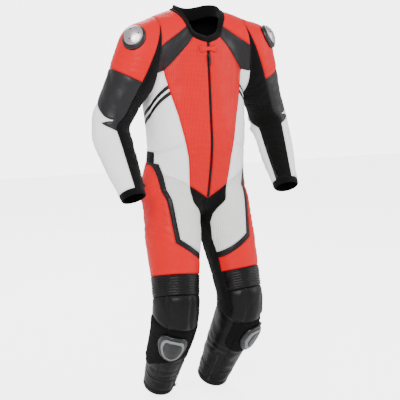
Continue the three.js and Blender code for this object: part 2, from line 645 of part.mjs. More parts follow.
// Snap tab: wide at both ends, over the top of the zip.
const tabEnd = TAB.long / 2;
const tabLobe = TAB.tall / 2;
const tabWaist = TAB.waist / 2;
const lobe = [[tabWaist, tabWaist], [tabEnd - tabLobe, tabLobe], [tabEnd - 4, tabLobe - 2], [tabEnd, 4]];
const tabSide = [...lobe, ...lobe.map(([x, z]) => [x, -z]).reverse()];
const tabOutline = [...tabSide, ...tabSide.map(([x, z]) => [-x, -z])].map(([x, z]) => [x, z + TAB.z]);
const tabLayer = layer(FIT_GAP + TAB.thick, FIT_GAP);
add("collar_tab", tabLayer.intersect(frontPrism(tabOutline, FRONT, 0)), RED);

// The main zip runs down the straight front line.
const zipRun = at(0, BELLY_Y - FRONT_TOP_Y, BELLY_Z - FRONT_TOP_Z).normalize();
const zipOut = at(0, zipRun.z, -zipRun.y);
const onZip = (z, lift) => at(0, frontY(z), z).addScaledVector(zipOut, lift);
const sliderLift = FIT_GAP + ZIP_SLIDER.deep / 2;
const sliderSize = [ZIP_SLIDER.wide, ZIP_SLIDER.deep, ZIP_SLIDER.tall];
add("zip_slider", boxAt(onZip(ZIP_SLIDER.z, sliderLift), sliderSize, zipRun, zipOut), METAL);
const pullLift = 2 * FIT_GAP + ZIP_SLIDER.deep + ZIP_PULL.deep / 2;
const pullDrop = ZIP_SLIDER.tall / 2 - ZIP_PULL.tall / 2 - 3;
const pullMiddle = onZip(ZIP_SLIDER.z, pullLift).addScaledVector(zipRun, -pullDrop);
add("zip_pull", boxAt(pullMiddle, [ZIP_PULL.wide, ZIP_PULL.deep, ZIP_PULL.tall], zipRun, zipOut), METAL);

// A limb zip's slider stands on a straight ridge of the skin, between the last two stops of the limb.
function ridge(bone, sections, share, turn) {
  const [a, b] = LIMB_STOPS.slice(-2).map((along) => {
    const { wide, deep } = interpolate(sections, along);
    const around = THREE.MathUtils.degToRad(turn);
    return alongBone(bone, (along - 1) * bone.length)
      .addScaledVector(bone.out, wide * Math.cos(around))
      .addScaledVector(bone.front, deep * Math.sin(around));
  });
  const place = (share - LIMB_STOPS.at(-2)) / (LIMB_STOPS.at(-1) - LIMB_STOPS.at(-2));
  return { point: a.clone().lerp(b, place), run: b.clone().sub(a).normalize() };
}
function limbSlider(bone, sections, { turn, along }) {
  const { point, run } = ridge(bone, sections, along, turn);
  const away = aroundBone(bone, turn);
  const normal = away.addScaledVector(run, -away.dot(run)).normalize();
  const { wide, deep, tall } = LIMB_ZIP_SLIDER;
  return boxAt(point.addScaledVector(normal, 2 * FIT_GAP + deep / 2), [wide, deep, tall], run, normal);
}
addPair("cuff_zip_slider", limbSlider(FOREARM, ARM, CUFF_ZIP), METAL);
addPair("calf_zip_slider", limbSlider(SHIN, LEG, CALF_ZIP), METAL);

export default suit;
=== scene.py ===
import json
import math

import bmesh
import bpy
import numpy as np
from mathutils import Matrix, Vector, kdtree
from mathutils.bvhtree import BVHTree

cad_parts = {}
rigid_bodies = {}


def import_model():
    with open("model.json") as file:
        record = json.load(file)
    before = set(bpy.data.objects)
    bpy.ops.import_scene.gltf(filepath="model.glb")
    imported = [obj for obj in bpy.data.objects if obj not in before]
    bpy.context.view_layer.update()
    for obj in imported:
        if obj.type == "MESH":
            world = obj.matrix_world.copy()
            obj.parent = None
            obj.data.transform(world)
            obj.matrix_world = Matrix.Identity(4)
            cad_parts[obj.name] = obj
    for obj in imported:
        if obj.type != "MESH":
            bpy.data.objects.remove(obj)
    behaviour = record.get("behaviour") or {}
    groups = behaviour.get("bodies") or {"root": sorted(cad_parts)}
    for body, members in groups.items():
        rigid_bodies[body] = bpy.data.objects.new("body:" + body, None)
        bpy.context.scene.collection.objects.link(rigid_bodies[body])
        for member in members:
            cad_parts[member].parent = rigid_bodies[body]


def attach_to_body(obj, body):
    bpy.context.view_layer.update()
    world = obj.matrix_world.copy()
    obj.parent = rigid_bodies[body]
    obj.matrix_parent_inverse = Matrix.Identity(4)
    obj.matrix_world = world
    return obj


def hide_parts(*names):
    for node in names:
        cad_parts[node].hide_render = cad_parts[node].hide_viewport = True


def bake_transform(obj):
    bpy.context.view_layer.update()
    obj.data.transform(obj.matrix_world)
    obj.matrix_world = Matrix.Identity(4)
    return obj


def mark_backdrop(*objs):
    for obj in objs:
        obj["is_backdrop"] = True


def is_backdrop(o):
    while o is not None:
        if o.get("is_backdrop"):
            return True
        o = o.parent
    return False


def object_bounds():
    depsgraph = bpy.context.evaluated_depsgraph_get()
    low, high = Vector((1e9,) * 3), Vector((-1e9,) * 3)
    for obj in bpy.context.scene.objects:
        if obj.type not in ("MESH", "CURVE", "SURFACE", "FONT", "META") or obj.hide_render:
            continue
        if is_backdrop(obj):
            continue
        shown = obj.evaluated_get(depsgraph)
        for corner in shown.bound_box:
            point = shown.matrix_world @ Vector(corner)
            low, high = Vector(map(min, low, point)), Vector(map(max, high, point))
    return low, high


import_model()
cad_low, cad_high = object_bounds()

# ---- Body shape ----------------------------------------------------------------------------------
# The whole suit as one closed skin: torso, shoulder beam, sleeves and legs are lofted and merged. It is what
# the leather panels are cut out of. All lengths in this section are millimetres.


def unit(v):
    v = np.asarray(v, float)
    return v / np.linalg.norm(v)


shoulder = np.array([208.0, 5, -86])
elbow = np.array([324.0, 42, -356])
wrist = np.array([304.0, -114, -586])
hip = np.array([102.0, 2, -648])
knee = np.array([131.0, -94, -1000])
ankle = np.array([113.0, 88, -1312])


def bone(start, end):
    axis = unit(end - start)
    front = np.array([0.0, -1, 0])
    front = unit(front - axis * (front @ axis))
    out = unit(np.cross(front, axis))
    if out[0] < 0:
        out = -out
    return start, axis, out, front, float(np.linalg.norm(end - start))


upper_arm = bone(shoulder, elbow)
forearm = bone(elbow, wrist)
thigh = bone(hip, knee)
shin = bone(knee, ankle)


def smooth_rows(rows, stops):
    """Rows of numbers keyed by their first column, read off at the stops with a smooth curve through them."""
    rows = np.array(rows, float)
    key, values = rows[:, 0], rows[:, 1:]
    slopes = np.gradient(values, key, axis=0)
    at = np.clip(np.searchsorted(key, stops) - 1, 0, len(key) - 2)
    width = (key[at + 1] - key[at])[:, None]
    t = ((stops - key[at])[:, None]) / width
    t2, t3 = t * t, t * t * t
    return (
        (2 * t3 - 3 * t2 + 1) * values[at]
        + (t3 - 2 * t2 + t) * width * slopes[at]
        + (3 * t2 - 2 * t3) * values[at + 1]
        + (t3 - t2) * width * slopes[at + 1]
    )


def add_loft(bm, rings):
    """A closed skin over rings of points, with a fan over each end."""
    made = [[bm.verts.new(p) for p in ring] for ring in rings]
    n = len(made[0])
    for a, b in zip(made, made[1:]):
        for i in range(n):
            bm.faces.new((a[i], a[(i + 1) % n], b[(i + 1) % n], b[i]))
    for ring, step in ((made[0], -1), (made[-1], 1)):
        middle = bm.verts.new(sum((v.co for v in ring), Vector()) / n)
        for i in range(n):
            pair = (ring[i], ring[(i + 1) % n])
            bm.faces.new((middle, *pair[::step]))


# height, half width, front, back
torso_rows = [
    (8, 92, -30, 88),
    (-20, 132, -54, 108),
    (-60, 164, -78, 128),
    (-130, 179, -84, 145),
    (-200, 184, -91, 150),
    (-265, 188, -97, 146),
    (-340, 187, -104, 134),
    (-410, 181, -110, 126),
    (-465, 181, -107, 130),
    (-530, 188, -97, 146),
    (-595, 198, -84, 150),
    (-650, 170, -66, 138),
    (-672, 110, -40, 100),
]
turns = np.linspace(0, 2 * np.pi, 96, endpoint=False)
heights = np.arange(8, -673, -10.0)
body = bmesh.new()
rings = []
for z, (half, front, back) in zip(heights, smooth_rows(torso_rows[::-1], heights)):
    c, s = np.cos(turns), np.sin(turns)
    x = half * np.sign(c) * np.abs(c) ** 0.9
    y = (front + back) / 2 + (back - front) / 2 * np.sign(s) * np.abs(s) ** 0.9
    rings.append(np.stack([x, y, np.full_like(x, z)], 1))
add_loft(body, rings)

# across, top, half height, middle, half depth
beam_rows = [(0, 46, 86, 28, 80), (84, 44, 88, 24, 86), (150, 28, 88, 18, 88), (196, 8, 84, 8, 86)]
rings = []
for x in np.arange(-196, 197, 14.0):
    top, high, middle, deep = smooth_rows(beam_rows, np.array([abs(x)]))[0]
    y = middle + deep * np.cos(turns)
    z = top - high + high * np.sin(turns)
    rings.append(np.stack([np.full_like(y, x), y, z], 1))
add_loft(body, rings)

# share of the way (0 to 1 first bone, 1 to 2 second), half width, half depth, shift outwards
arm_rows = [
    (0.0, 88, 88, 0),
    (0.3, 86, 86, -8),
    (0.6, 72, 76, -2),
    (0.85, 66, 70, 0),
    (1.0, 64, 68, 0),
    (1.15, 64, 65, 0),
    (1.4, 60, 60, 0),
    (2.0, 45, 43, 0),
    (2.2, 42, 40, 0),
]
leg_rows = [
    (0.0, 98, 112, 0),
    (0.25, 95, 104, 0),
    (0.55, 87, 92, 0),
    (0.85, 80, 82, 0),
    (1.0, 80, 84, 0),
    (1.15, 78, 82, 0),
    (1.5, 71, 73, 0),
    (2.0, 57, 57, 0),
    (2.2, 55, 55, 0),
]


def limb_rings(first, second, bend, rows, side):
    """Rings down a limb, rounded over at its joint and domed at its top."""
    made = []
    stops = np.concatenate([np.linspace(0, 1, 30), np.linspace(1, 2.1, 32)[1:]])
    sizes = smooth_rows(rows, stops)
    joint = second[0]

    def line(mm):
        if mm <= -bend:
            return joint + first[1] * mm
        if mm >= bend:
            return joint + second[1] * mm
        t = (mm + bend) / (2 * bend)
        a, b = joint - first[1] * bend, joint + second[1] * bend
        return (1 - t) ** 2 * a + 2 * t * (1 - t) * joint + t * t * b

    def ring(stop, size, scale, slide):
        mm = (stop - 1) * (first[4] if stop < 1 else second[4])
        share = np.clip(mm / (2 * bend) + 0.5, 0, 1)
        out = unit(first[2] * (1 - share) + second[2] * share)
        front = unit(first[3] * (1 - share) + second[3] * share)
        axis = unit(first[1] * (1 - share) + second[1] * share)
        wide, deep, shift = size
        middle = line(mm) + out * shift + axis * slide
        points = (
            middle
            + np.outer(np.cos(turns), out) * wide * scale
            + np.outer(np.sin(turns), front) * deep * scale
        )
        return points * [side, 1, 1]

    dome = sizes[0][0]
    for lean in (84, 74, 64, 54, 44, 34, 24, 12):
        turn = math.radians(lean)
        made.append(ring(0, sizes[0], math.cos(turn), -dome * math.sin(turn)))
    made += [ring(stop, size, 1, 0) for stop, size in zip(stops, sizes)]
    return made


for side in (1, -1):
    add_loft(body, limb_rings(upper_arm, forearm, 55, arm_rows, side))
    add_loft(body, limb_rings(thigh, shin, 70, leg_rows, side))
bmesh.ops.recalc_face_normals(body, faces=body.faces)
for v in body.verts:
    v.co *= 0.001
skin_mesh = bpy.data.meshes.new("skin")
body.to_mesh(skin_mesh)
body.free()
skin = bpy.data.objects.new("skin", skin_mesh)
bpy.context.scene.collection.objects.link(skin)
remesh = skin.modifiers.new("merge", "REMESH")
remesh.mode = "VOXEL"
remesh.voxel_size = 0.0042
soften = skin.modifiers.new("soften", "SMOOTH")
soften.factor = 0.6
soften.iterations = 14
merged = bpy.data.meshes.new_from_object(skin.evaluated_get(bpy.context.evaluated_depsgraph_get()))
bpy.data.objects.remove(skin)

# The hollows where the arms and legs grow out of the body are filled a little, as leather bridges them.
co = np.empty(len(merged.vertices) * 3)
merged.vertices.foreach_get("co", co)
co = co.reshape(-1, 3) * 1000
ends = np.empty(len(merged.edges) * 2, int)
merged.edges.foreach_get("vertices", ends)
ends = ends.reshape(-1, 2)
both = np.concatenate([ends[:, 0], ends[:, 1]])
other = np.concatenate([ends[:, 1], ends[:, 0]])
count = np.bincount(both, minlength=len(co))[:, None]
outer = np.abs(co[:, 0])
near_shoulder = np.clip(1.6 - np.hypot((outer - 172) / 62, (co[:, 2] + 30) / 105), 0, 1)
near_hip = np.clip(1.5 - np.abs(co[:, 2] + 662) / 58, 0, 1) * np.clip((outer - 12) / 25, 0, 1)
loose = np.maximum(near_shoulder, near_hip)[:, None]
for _ in range(110):
    mean = np.stack([np.bincount(both, co[other, k], len(co)) for k in range(3)], 1) / count
    co += (mean - co) * 0.7 * loose
merged.vertices.foreach_set("co", (co / 1000).ravel())

# ---- Panel outlines ------------------------------------------------------------------------------
# Where each seam runs. A seam is the zero line of a field over the skin. The skin is cut along all of them,
# so that every face belongs to one panel. Both sides are cut alike, with x measured outwards.

work = bmesh.new()
work.from_mesh(merged)


def positions():
    co = np.array([v.co for v in work.verts]) * 1000
    co[:, 0] = np.abs(co[:, 0])
    return co


def inside(points, corners):
    """Distance from an outline, negative inside it. Points and corners are in the same plane."""
    corners = np.array(corners, float)
    best = np.full(len(points), 1e9)
    odd = np.zeros(len(points), bool)
    for a, b in zip(corners, np.roll(corners, -1, 0)):
        run = b - a
        t = np.clip(((points - a) @ run) / (run @ run), 0, 1)
        best = np.minimum(best, np.linalg.norm(points - a - t[:, None] * run, axis=1))
        cross = (a[1] > points[:, 1]) != (b[1] > points[:, 1])
        if abs(run[1]) > 1e-9:
            odd ^= cross & (points[:, 0] < a[0] + (points[:, 1] - a[1]) / run[1] * run[0])
    return np.where(odd, -best, best)


def cut(field, where):
    """Splits the skin's faces along the zero line of the field, among the vertices where the mask holds."""
    work.verts.index_update()
    work.edges.ensure_lookup_table()
    co = positions()
    value, mask = field(co), where(co)
    value = np.where(np.abs(value) < 0.12, np.sign(value + 1e-9) * 0.12, value)
    ends = np.array([(e.verts[0].index, e.verts[1].index) for e in work.edges])
    a, b = ends[:, 0], ends[:, 1]
    crossing = np.nonzero((value[a] * value[b] < 0) & mask[a] & mask[b])[0]
    split = [(i, work.edges[i]) for i in crossing]
    fresh = []
    for i, edge in split:
        first = edge.verts[0]
        share = value[a[i]] / (value[a[i]] - value[b[i]])
        fresh.append(bmesh.utils.edge_split(edge, first, share)[1])
    bmesh.ops.connect_verts(work, verts=fresh)


def round_bone(p, b):
    """Distance down a bone and angle round it, from outwards (0) to the front (90)."""
    d = p - b[0]
    return d @ b[1], np.degrees(np.arctan2(d @ b[3], d @ b[2]))


armhole = (np.array([179.0, 0, -134]), np.array([math.cos(math.radians(5)), 0, math.sin(math.radians(5))]))


def past_armhole(p):
    return (p - armhole[0]) @ armhole[1]


def is_sleeve(p):
    return np.where(p[:, 2] > -300, past_armhole(p) > 0, p[:, 0] > 222)


def past_bend(p, first, second):
    return (p - second[0]) @ unit(first[1] + second[1])


def ease(t):
    t = np.clip(t, 0, 1)
    return t * t * (3 - 2 * t)


def sleeve_coordinates(p):
    """Length down the sleeve and angle round it, joined smoothly over the elbow."""
    su, au = round_bone(p, upper_arm)
    sf, af = round_bone(p, forearm)
    t = ease((past_bend(p, upper_arm, forearm) + 40) / 80)
    au = np.where(au < -150, au + 360, au)
    af = np.where(af < -150, af + 360, af)
    return su * (1 - t) + (upper_arm[4] + sf) * t, au * (1 - t) + af * t


def leg_coordinates(p):
    st, at = round_bone(p, thigh)
    ss, turn_shin = round_bone(p, shin)
    t = ease((past_bend(p, thigh, shin) + 30) / 60)
    at = np.where(at < -100, at + 360, at)
    turn_shin = np.where(turn_shin < -100, turn_shin + 360, turn_shin)
    return st * (1 - t) + (thigh[4] + ss) * t, at * (1 - t) + turn_shin * t


# Heights and widths of seams on the torso.
side_seam_y = 24
upper_back_foot = -186
waist_top, waist_foot, waist_front = -446, -484, -13
zip_half_width = 4.6
stripe_drops, stripe_half_width, stripe_end = (0, 28), 8.5, 64
pocket_half_width, pocket_top, pocket_foot = 95, -90, -440
# Lengths down the sleeve from the shoulder, and down the forearm from the elbow.
cap_end, upper_stretch_end, cuff_start = 110, 196, 256
# Lengths down the leg from the hip, and down the shin from the knee.
ribs_top, outer_leg_foot, cup_top, cup_foot, rib_pitch = 240, 272, 312, 390, 9
shin_low, hem_top = 281, 341
# Angles round the leg, from outwards (0) to the front (90).
cup_sides, cup_seams, shin_sides, shin_seam = (-35, 152), (40, 104), (-70, 112), 44

yoke = [(48, -43), (70, -13), (100, -33), (200, -96), (200, -176), (154, -165)]
centre = [
    (-30, 60), (48, 20), (48, -43), (154, -165), (138, -240), (116, -320), (102, -385), (85, -465),
    (75, -562), (0, -610), (-30, -625),
]
shoulder_line = [
    (-30, 120), (300, 120), (300, -158), (200, -96), (100, -33), (70, -13), (30, 20), (-30, 20),
]
strip_inner = [
    (-30, -380), (171, -380), (171, -484), (159, -526), (144, -606), (138, -680), (132, -738),
    (57, -789), (20, -815), (-30, -850),
]
strip_outer = [
    (-30, -380), (185, -380), (185, -484), (175, -526), (160, -606), (154, -680), (148, -750),
    (62, -808), (15, -840), (-30, -872),
]
crotch_front = np.array(
    [
        (-562, 75), (-618, 64), (-648, 36), (-668, 25), (-700, 20), (-760, 24), (-815, 36),
        (-880, 45), (-960, 56),
    ][::-1]
)
crotch_back = np.array([(-640, 2), (-668, 26), (-700, 38), (-760, 44), (-880, 52), (-960, 58)][::-1])


def xz(p):
    return p[:, [0, 2]]


def leg_front(p):
    """In front of the leg's own centre line, or in front of the hips above the legs."""
    line = np.interp(p[:, 2], [-1000, -648, -560], [-94, 2, 24])
    return p[:, 1] - line


def crotch(p):
    front = np.interp(p[:, 2], *crotch_front.T)
    back = np.interp(p[:, 2], *crotch_back.T)
    return p[:, 0] - np.where(leg_front(p) < 0, front, back)


def stripe(p, drop):
    """Distance above the middle of a diagonal stripe, which drops towards the back."""
    return p[:, 2] + drop - np.interp(p[:, 1], [-90, -61, 0, 75], [-174, -212, -290, -336])


def zigzag(p):
    along, turn = sleeve_coordinates(p)
    grey = [(-330, -60), (130, -60), (130, 350), (99, 345), (52, 297), (86, 284), (-25, 236), (-330, 232)]
    return inside(np.stack([turn * 1.15, along], 1), grey)


def stretch(p):
    along, turn = sleeve_coordinates(p)
    t = ease((along - 250) / 90)
    front = turn - (98 - 13 * t)
    back = turn - (208 - 40 * t)
    return np.maximum(-front, back)


on_torso = lambda p: ~is_sleeve(p) & (p[:, 2] > -720)
on_leg = lambda p: ~is_sleeve(p) & (p[:, 2] < -540)
low_seam = lambda p: p[:, 2] + 417 + (p[:, 0] - 95) * 0.36
thigh_seam = lambda p: p[:, 2] + 516 + (167 - p[:, 0]) * 0.49
ring = lambda p: ((p[:, 0] / 83.5) ** 2 + ((p[:, 1] - 2) / 74.5) ** 2) ** 0.5 * 78 - 78

cut(ring, lambda p: p[:, 2] > -75)
cut(past_armhole, lambda p: (p[:, 2] > -300) & (p[:, 0] > 130))
cut(
    lambda p: p[:, 1] - side_seam_y,
    lambda p: on_torso(p) & (p[:, 2] > -200) & (p[:, 2] < -140) & (p[:, 0] > 140),
)
cut(lambda p: inside(xz(p), yoke), lambda p: on_torso(p) & (p[:, 1] < side_seam_y) & (p[:, 2] > -190))
cut(
    lambda p: inside(xz(p), shoulder_line),
    lambda p: on_torso(p) & (p[:, 1] < side_seam_y + 2) & (p[:, 2] > -190),
)
cut(lambda p: p[:, 2] - upper_back_foot, lambda p: on_torso(p) & (p[:, 1] > side_seam_y - 2))
cut(lambda p: inside(xz(p), centre), lambda p: on_torso(p) & (p[:, 1] < side_seam_y))
cut(lambda p: p[:, 2] - waist_top, lambda p: on_torso(p) & (p[:, 1] > -16))
cut(
    lambda p: p[:, 2] - waist_foot,
    lambda p: on_torso(p) & (p[:, 1] > -60) & (p[:, 0] + p[:, 1] > 150) | (on_torso(p) & (p[:, 1] > 0)),
)
cut(lambda p: p[:, 1] - waist_front, lambda p: on_torso(p) & (p[:, 2] < -444) & (p[:, 2] > -486))
cut(thigh_seam, lambda p: on_torso(p) & (leg_front(p) < 0))
cut(low_seam, lambda p: on_torso(p) & (p[:, 1] < -10) & (p[:, 0] > 88))
for drop in stripe_drops:
    for edge in (-stripe_half_width, stripe_half_width):
        cut(
            lambda p: stripe(p, drop) - edge,
            lambda p: on_torso(p) & (p[:, 1] < 66) & (p[:, 0] > 110) & (p[:, 2] > -380),
        )
cut(
    lambda p: p[:, 1] - stripe_end,
    lambda p: on_torso(p) & (p[:, 2] > -380) & (p[:, 2] < -290) & (p[:, 0] > 110),
)
front_of_leg = lambda p: ~is_sleeve(p) & (leg_front(p) < 14) & (p[:, 2] < -470) & (p[:, 2] > -860)
cut(lambda p: inside(xz(p), strip_inner), front_of_leg)
cut(lambda p: inside(xz(p), strip_outer), front_of_leg)
cut(crotch, lambda p: ~is_sleeve(p) & (p[:, 2] < -555) & (p[:, 2] > -935))
for length in (
    ribs_top, cup_top, cup_foot, thigh[4] + shin_low, thigh[4] + hem_top, thigh[4] + shin[4],
):
    cut(lambda p: leg_coordinates(p)[0] - length, lambda p: on_leg(p) & (p[:, 2] < -840))
cut(
    lambda p: leg_coordinates(p)[0] - outer_leg_foot,
    lambda p: on_leg(p) & (p[:, 2] < -840) & (leg_coordinates(p)[1] < cup_sides[0] + 4),
)
for turn, top, foot in (
    (cup_sides[0], ribs_top, cup_foot + 2), (cup_sides[1], ribs_top, cup_foot + 2),
    (cup_seams[0], cup_top, cup_foot + 2), (cup_seams[1], cup_top, cup_foot + 2),
    (shin_sides[0], cup_foot - 2, 710), (shin_sides[1], cup_foot - 2, 710), (shin_seam, cup_foot - 2, 650),
):
    cut(
        lambda p: leg_coordinates(p)[1] - turn,
        lambda p: on_leg(p) & (leg_coordinates(p)[0] > top - 8) & (leg_coordinates(p)[0] < foot + 8) & (
            np.abs(leg_coordinates(p)[1] - turn) < 60
        ),
    )
for length in np.arange(ribs_top + rib_pitch / 2, cup_top - 1, rib_pitch / 2):
    cut(
        lambda p: leg_coordinates(p)[0] - length,
        lambda p: on_leg(p) & (p[:, 2] < -840) & (np.abs(leg_coordinates(p)[1] - 58) < 100) & (
            np.abs(leg_coordinates(p)[0] - length) < 12
        ),
    )
patch_shape = [
    (-34, 30), (20, 21), (90, 21), (150, 30), (152, 132), (136, 152), (100, 166), (76, 174),
    (34, 202), (6, 232), (-18, 236), (-36, 214),
]


def knee_patch(p):
    length, turn = leg_coordinates(p)
    return inside(np.stack([turn * 1.15, length - thigh[4]], 1), patch_shape)


cut(knee_patch, lambda p: on_leg(p) & (p[:, 2] < -940) & (knee_patch(p) < 12))
cut(
    lambda p: p[:, 0] - pocket_half_width,
    lambda p: on_torso(p) & (p[:, 1] > 60) & (p[:, 2] < -80) & (p[:, 2] > -450),
)
for height in (pocket_top, pocket_foot):
    cut(lambda p: p[:, 2] - height, lambda p: on_torso(p) & (p[:, 1] > 60) & (p[:, 0] < 110))
cut(lambda p: sleeve_coordinates(p)[0] - cap_end, lambda p: is_sleeve(p) & (stretch(p) > -4))
cut(lambda p: sleeve_coordinates(p)[0] - upper_stretch_end, lambda p: is_sleeve(p) & (stretch(p) < 4))
cut(stretch, lambda p: is_sleeve(p) & (sleeve_coordinates(p)[0] < upper_arm[4] + cuff_start + 2))
cut(zigzag, lambda p: is_sleeve(p) & (stretch(p) > -4) & (sleeve_coordinates(p)[0] > 180))
cut(lambda p: sleeve_coordinates(p)[0] - upper_arm[4] - cuff_start, is_sleeve)
cut(lambda p: sleeve_coordinates(p)[0] - upper_arm[4] - forearm[4], is_sleeve)

# The middle lines, cut with the sign of x: the zip's edges in front, the centre seams elsewhere.
work.verts.ensure_lookup_table()
for offset, part in ((zip_half_width, "zip"), (-zip_half_width, "zip"), (0, "seam")):
    geom = list(work.verts) + list(work.edges) + list(work.faces)
    if part == "zip":
        geom = [
            f
            for f in work.faces
            if f.calc_center_median().y < -0.02 and -0.62 < f.calc_center_median().z < -0.04 and abs(
                f.calc_center_median().x
            ) < 0.03
        ]
    else:
        geom = [
            f
            for f in work.faces
            if abs(f.calc_center_median().x) < 0.03 and not (
                f.calc_center_median().y < -0.02
                and f.calc_center_median().z > -0.6
            )
        ]
    geom = list({e for f in geom for e in f.edges} | {v for f in geom for v in f.verts}) + geom
    bmesh.ops.bisect_plane(work, geom=geom, dist=1e-6, plane_co=(offset / 1000, 0, 0), plane_no=(1, 0, 0))

# Every face gets a panel by where its middle is. Names that share a word before the dot are one piece.
work.faces.ensure_lookup_table()
p = np.array([f.calc_center_median() for f in work.faces]) * 1000
left = p[:, 0] > 0
p[:, 0] = np.abs(p[:, 0])
label = np.full(len(p), "side_panel", dtype=object)
label[(p[:, 2] > -120) & (p[:, 0] < 130)] = "chest_yoke"
sleeve, along_leg, turn_leg = is_sleeve(p), *leg_coordinates(p)
along_arm, turn_arm = sleeve_coordinates(p)
torso = ~sleeve & (p[:, 2] > -720)
front = p[:, 1] < side_seam_y
label[torso & (p[:, 1] < -10) & (low_seam(p) < 0)] = "side_panel.low"
for drop in stripe_drops:
    band = torso & (
        np.abs(stripe(p, drop)) < stripe_half_width
    ) & (p[:, 1] < stripe_end) & (p[:, 0] > 110) & (p[:, 2] > -390)
    label[band] = "side_stripe"
label[torso & (p[:, 2] < waist_top) & (p[:, 2] > waist_foot) & (p[:, 1] > waist_front)] = "waist_stretch"
label[torso & (p[:, 2] < waist_foot)] = "outer_leg"
inner_white = inside(xz(p), strip_inner) < 0
upper_front = ~sleeve & (leg_front(p) < 14) & (p[:, 2] > -860)
label[~sleeve & (along_leg > 0) & (p[:, 2] < -640)] = "outer_leg"
above_seam = thigh_seam(p) > 0
label[upper_front & inner_white & (p[:, 2] < waist_top) & ~above_seam & (leg_front(p) < 0)] = "thigh_front"
label[torso & inner_white & (leg_front(p) < 0) & (p[:, 2] < waist_foot) & above_seam] = "side_panel.low"
strip = upper_front & ~inner_white & (inside(xz(p), strip_outer) < 0) & (p[:, 2] < waist_foot)
label[strip] = "thigh_strip"
label[~sleeve & (p[:, 2] < -555) & (crotch(p) < 0)] = "inner_leg"
label[torso & front & (inside(xz(p), centre) < 0)] = "front_panel"
label[torso & front & (p[:, 2] > -190) & (inside(xz(p), shoulder_line) < 0)] = "shoulder_panel"
label[torso & ~front & (p[:, 2] > upper_back_foot)] = "shoulder_panel"
label[torso & front & (p[:, 2] > -190) & (inside(xz(p), yoke) < 0)] = "chest_yoke"
below = ~sleeve & (p[:, 2] < -830)
facing = (turn_leg > cup_sides[0]) & (turn_leg < cup_sides[1])
label[below & (along_leg > ribs_top) & (along_leg < cup_foot)] = "knee_back"
label[below & (along_leg < outer_leg_foot) & (turn_leg < cup_sides[0])] = "outer_leg"
label[below & (along_leg > ribs_top) & (along_leg < cup_top) & facing] = "knee_ribs"
kneecap = below & (along_leg > cup_top) & (along_leg < cup_foot) & facing
label[kneecap] = "knee_top"
label[kneecap & (turn_leg > cup_seams[0])] = "knee_top.b"
label[kneecap & (turn_leg > cup_seams[1])] = "knee_top.c"
calf = below & (along_leg > cup_foot)
shin_face = calf & (turn_leg > shin_sides[0]) & (turn_leg < shin_sides[1])
label[calf] = "calf_panel"
label[shin_face] = "shin_panel"
label[shin_face & (turn_leg > shin_seam) & (along_leg < thigh[4] + shin_low)] = "shin_panel.b"
label[calf & (along_leg > thigh[4] + shin_low)] = "calf_panel.low"
label[shin_face & (along_leg > thigh[4] + shin_low)] = "shin_panel.low"
label[calf & (along_leg > thigh[4] + hem_top)] = "leg_hem"
label[calf & (along_leg > thigh[4] + shin[4])] = "none"
knit = stretch(p) < 0
label[sleeve] = "forearm_panel"
label[sleeve & (zigzag(p) < 0)] = "upper_sleeve"
label[sleeve & (along_arm < cap_end)] = "sleeve_cap"
label[sleeve & knit] = "lower_stretch"
label[sleeve & knit & (along_arm < upper_stretch_end)] = "upper_stretch"
label[sleeve & (along_arm > upper_arm[4] + cuff_start)] = "sleeve_cuff"
label[sleeve & (along_arm > upper_arm[4] + forearm[4])] = "none"
label[(label == "front_panel") & (p[:, 0] < zip_half_width) & (p[:, 2] > -606)] = "zip_tape"
label[(ring(p) < 0) & (p[:, 2] > -75)] = "none"

shared = {"zip_tape", "waist_stretch"}
whole = np.array(
    [
        n if n in shared or n == "none" else n + ("_left" if is_left else "_right")
        for n, is_left in zip([x.split(".")[0] for x in label], left)
    ],
    dtype=object,
)
patch = np.array([n + ("+" if is_left else "-") for n, is_left in zip(label, left)], dtype=object)
patch[label == "zip_tape"] = "zip_tape"
patch[label == "none"] = "none"

# ---- Padding, folds and seams --------------------------------------------------------------------
# The skin is pushed in along every seam and out between them. Armour shows as low bulges at the elbows and
# knees, and the leather folds where the suit bends.

kept = [
    e
    for e in work.edges
    if len(e.link_faces) == 2 and patch[e.link_faces[0].index] != patch[e.link_faces[1].index]
]
samples = []
for e in kept:
    a, b = e.verts[0].co, e.verts[1].co
    n = max(1, int((b - a).length / 0.0012))
    samples += [a.lerp(b, i / n) for i in range(n + 1)]
seams = kdtree.KDTree(len(samples))
for i, point in enumerate(samples):
    seams.insert(point, i)
seams.balance()
work.verts.index_update()
work.normal_update()
seam_gap = np.array([seams.find(v.co)[2] for v in work.verts]) * 1000
p = positions()
signed = np.array([v.co for v in work.verts]) * 1000
normal = np.array([v.normal for v in work.verts])
along, turn = sleeve_coordinates(p)
down, round_leg = leg_coordinates(p)
arm = is_sleeve(p)
leg = ~arm & (p[:, 2] < -640)


def waves(points, size, seed):
    """Smooth noise from -1 to 1: a few crossed waves with drifting phases."""
    draw = np.random.default_rng(seed)
    total = np.zeros(len(points))
    for _ in range(9):
        way = unit(draw.normal(size=3))
        phase = draw.uniform(0, 6.28)
        bend = unit(draw.normal(size=3))
        total += np.sin(
            points @ way * 6.283 / (size * draw.uniform(0.7, 1.5))
            + phase
            + 1.3 * np.sin(points @ bend * 6.283 / (size * 2.2))
        )
    return total / 4.2


def folds(across, pitch, points, seed, wander=0.9):
    """Rounded folds with narrow valleys, running across the given length."""
    phase = across / pitch + wander * waves(points, pitch * 5, seed)
    return np.abs(np.sin(phase * math.pi)) ** 0.7 - 0.62


def window(value, middle, reach):
    return np.exp(-(((value - middle) / reach) ** 2))


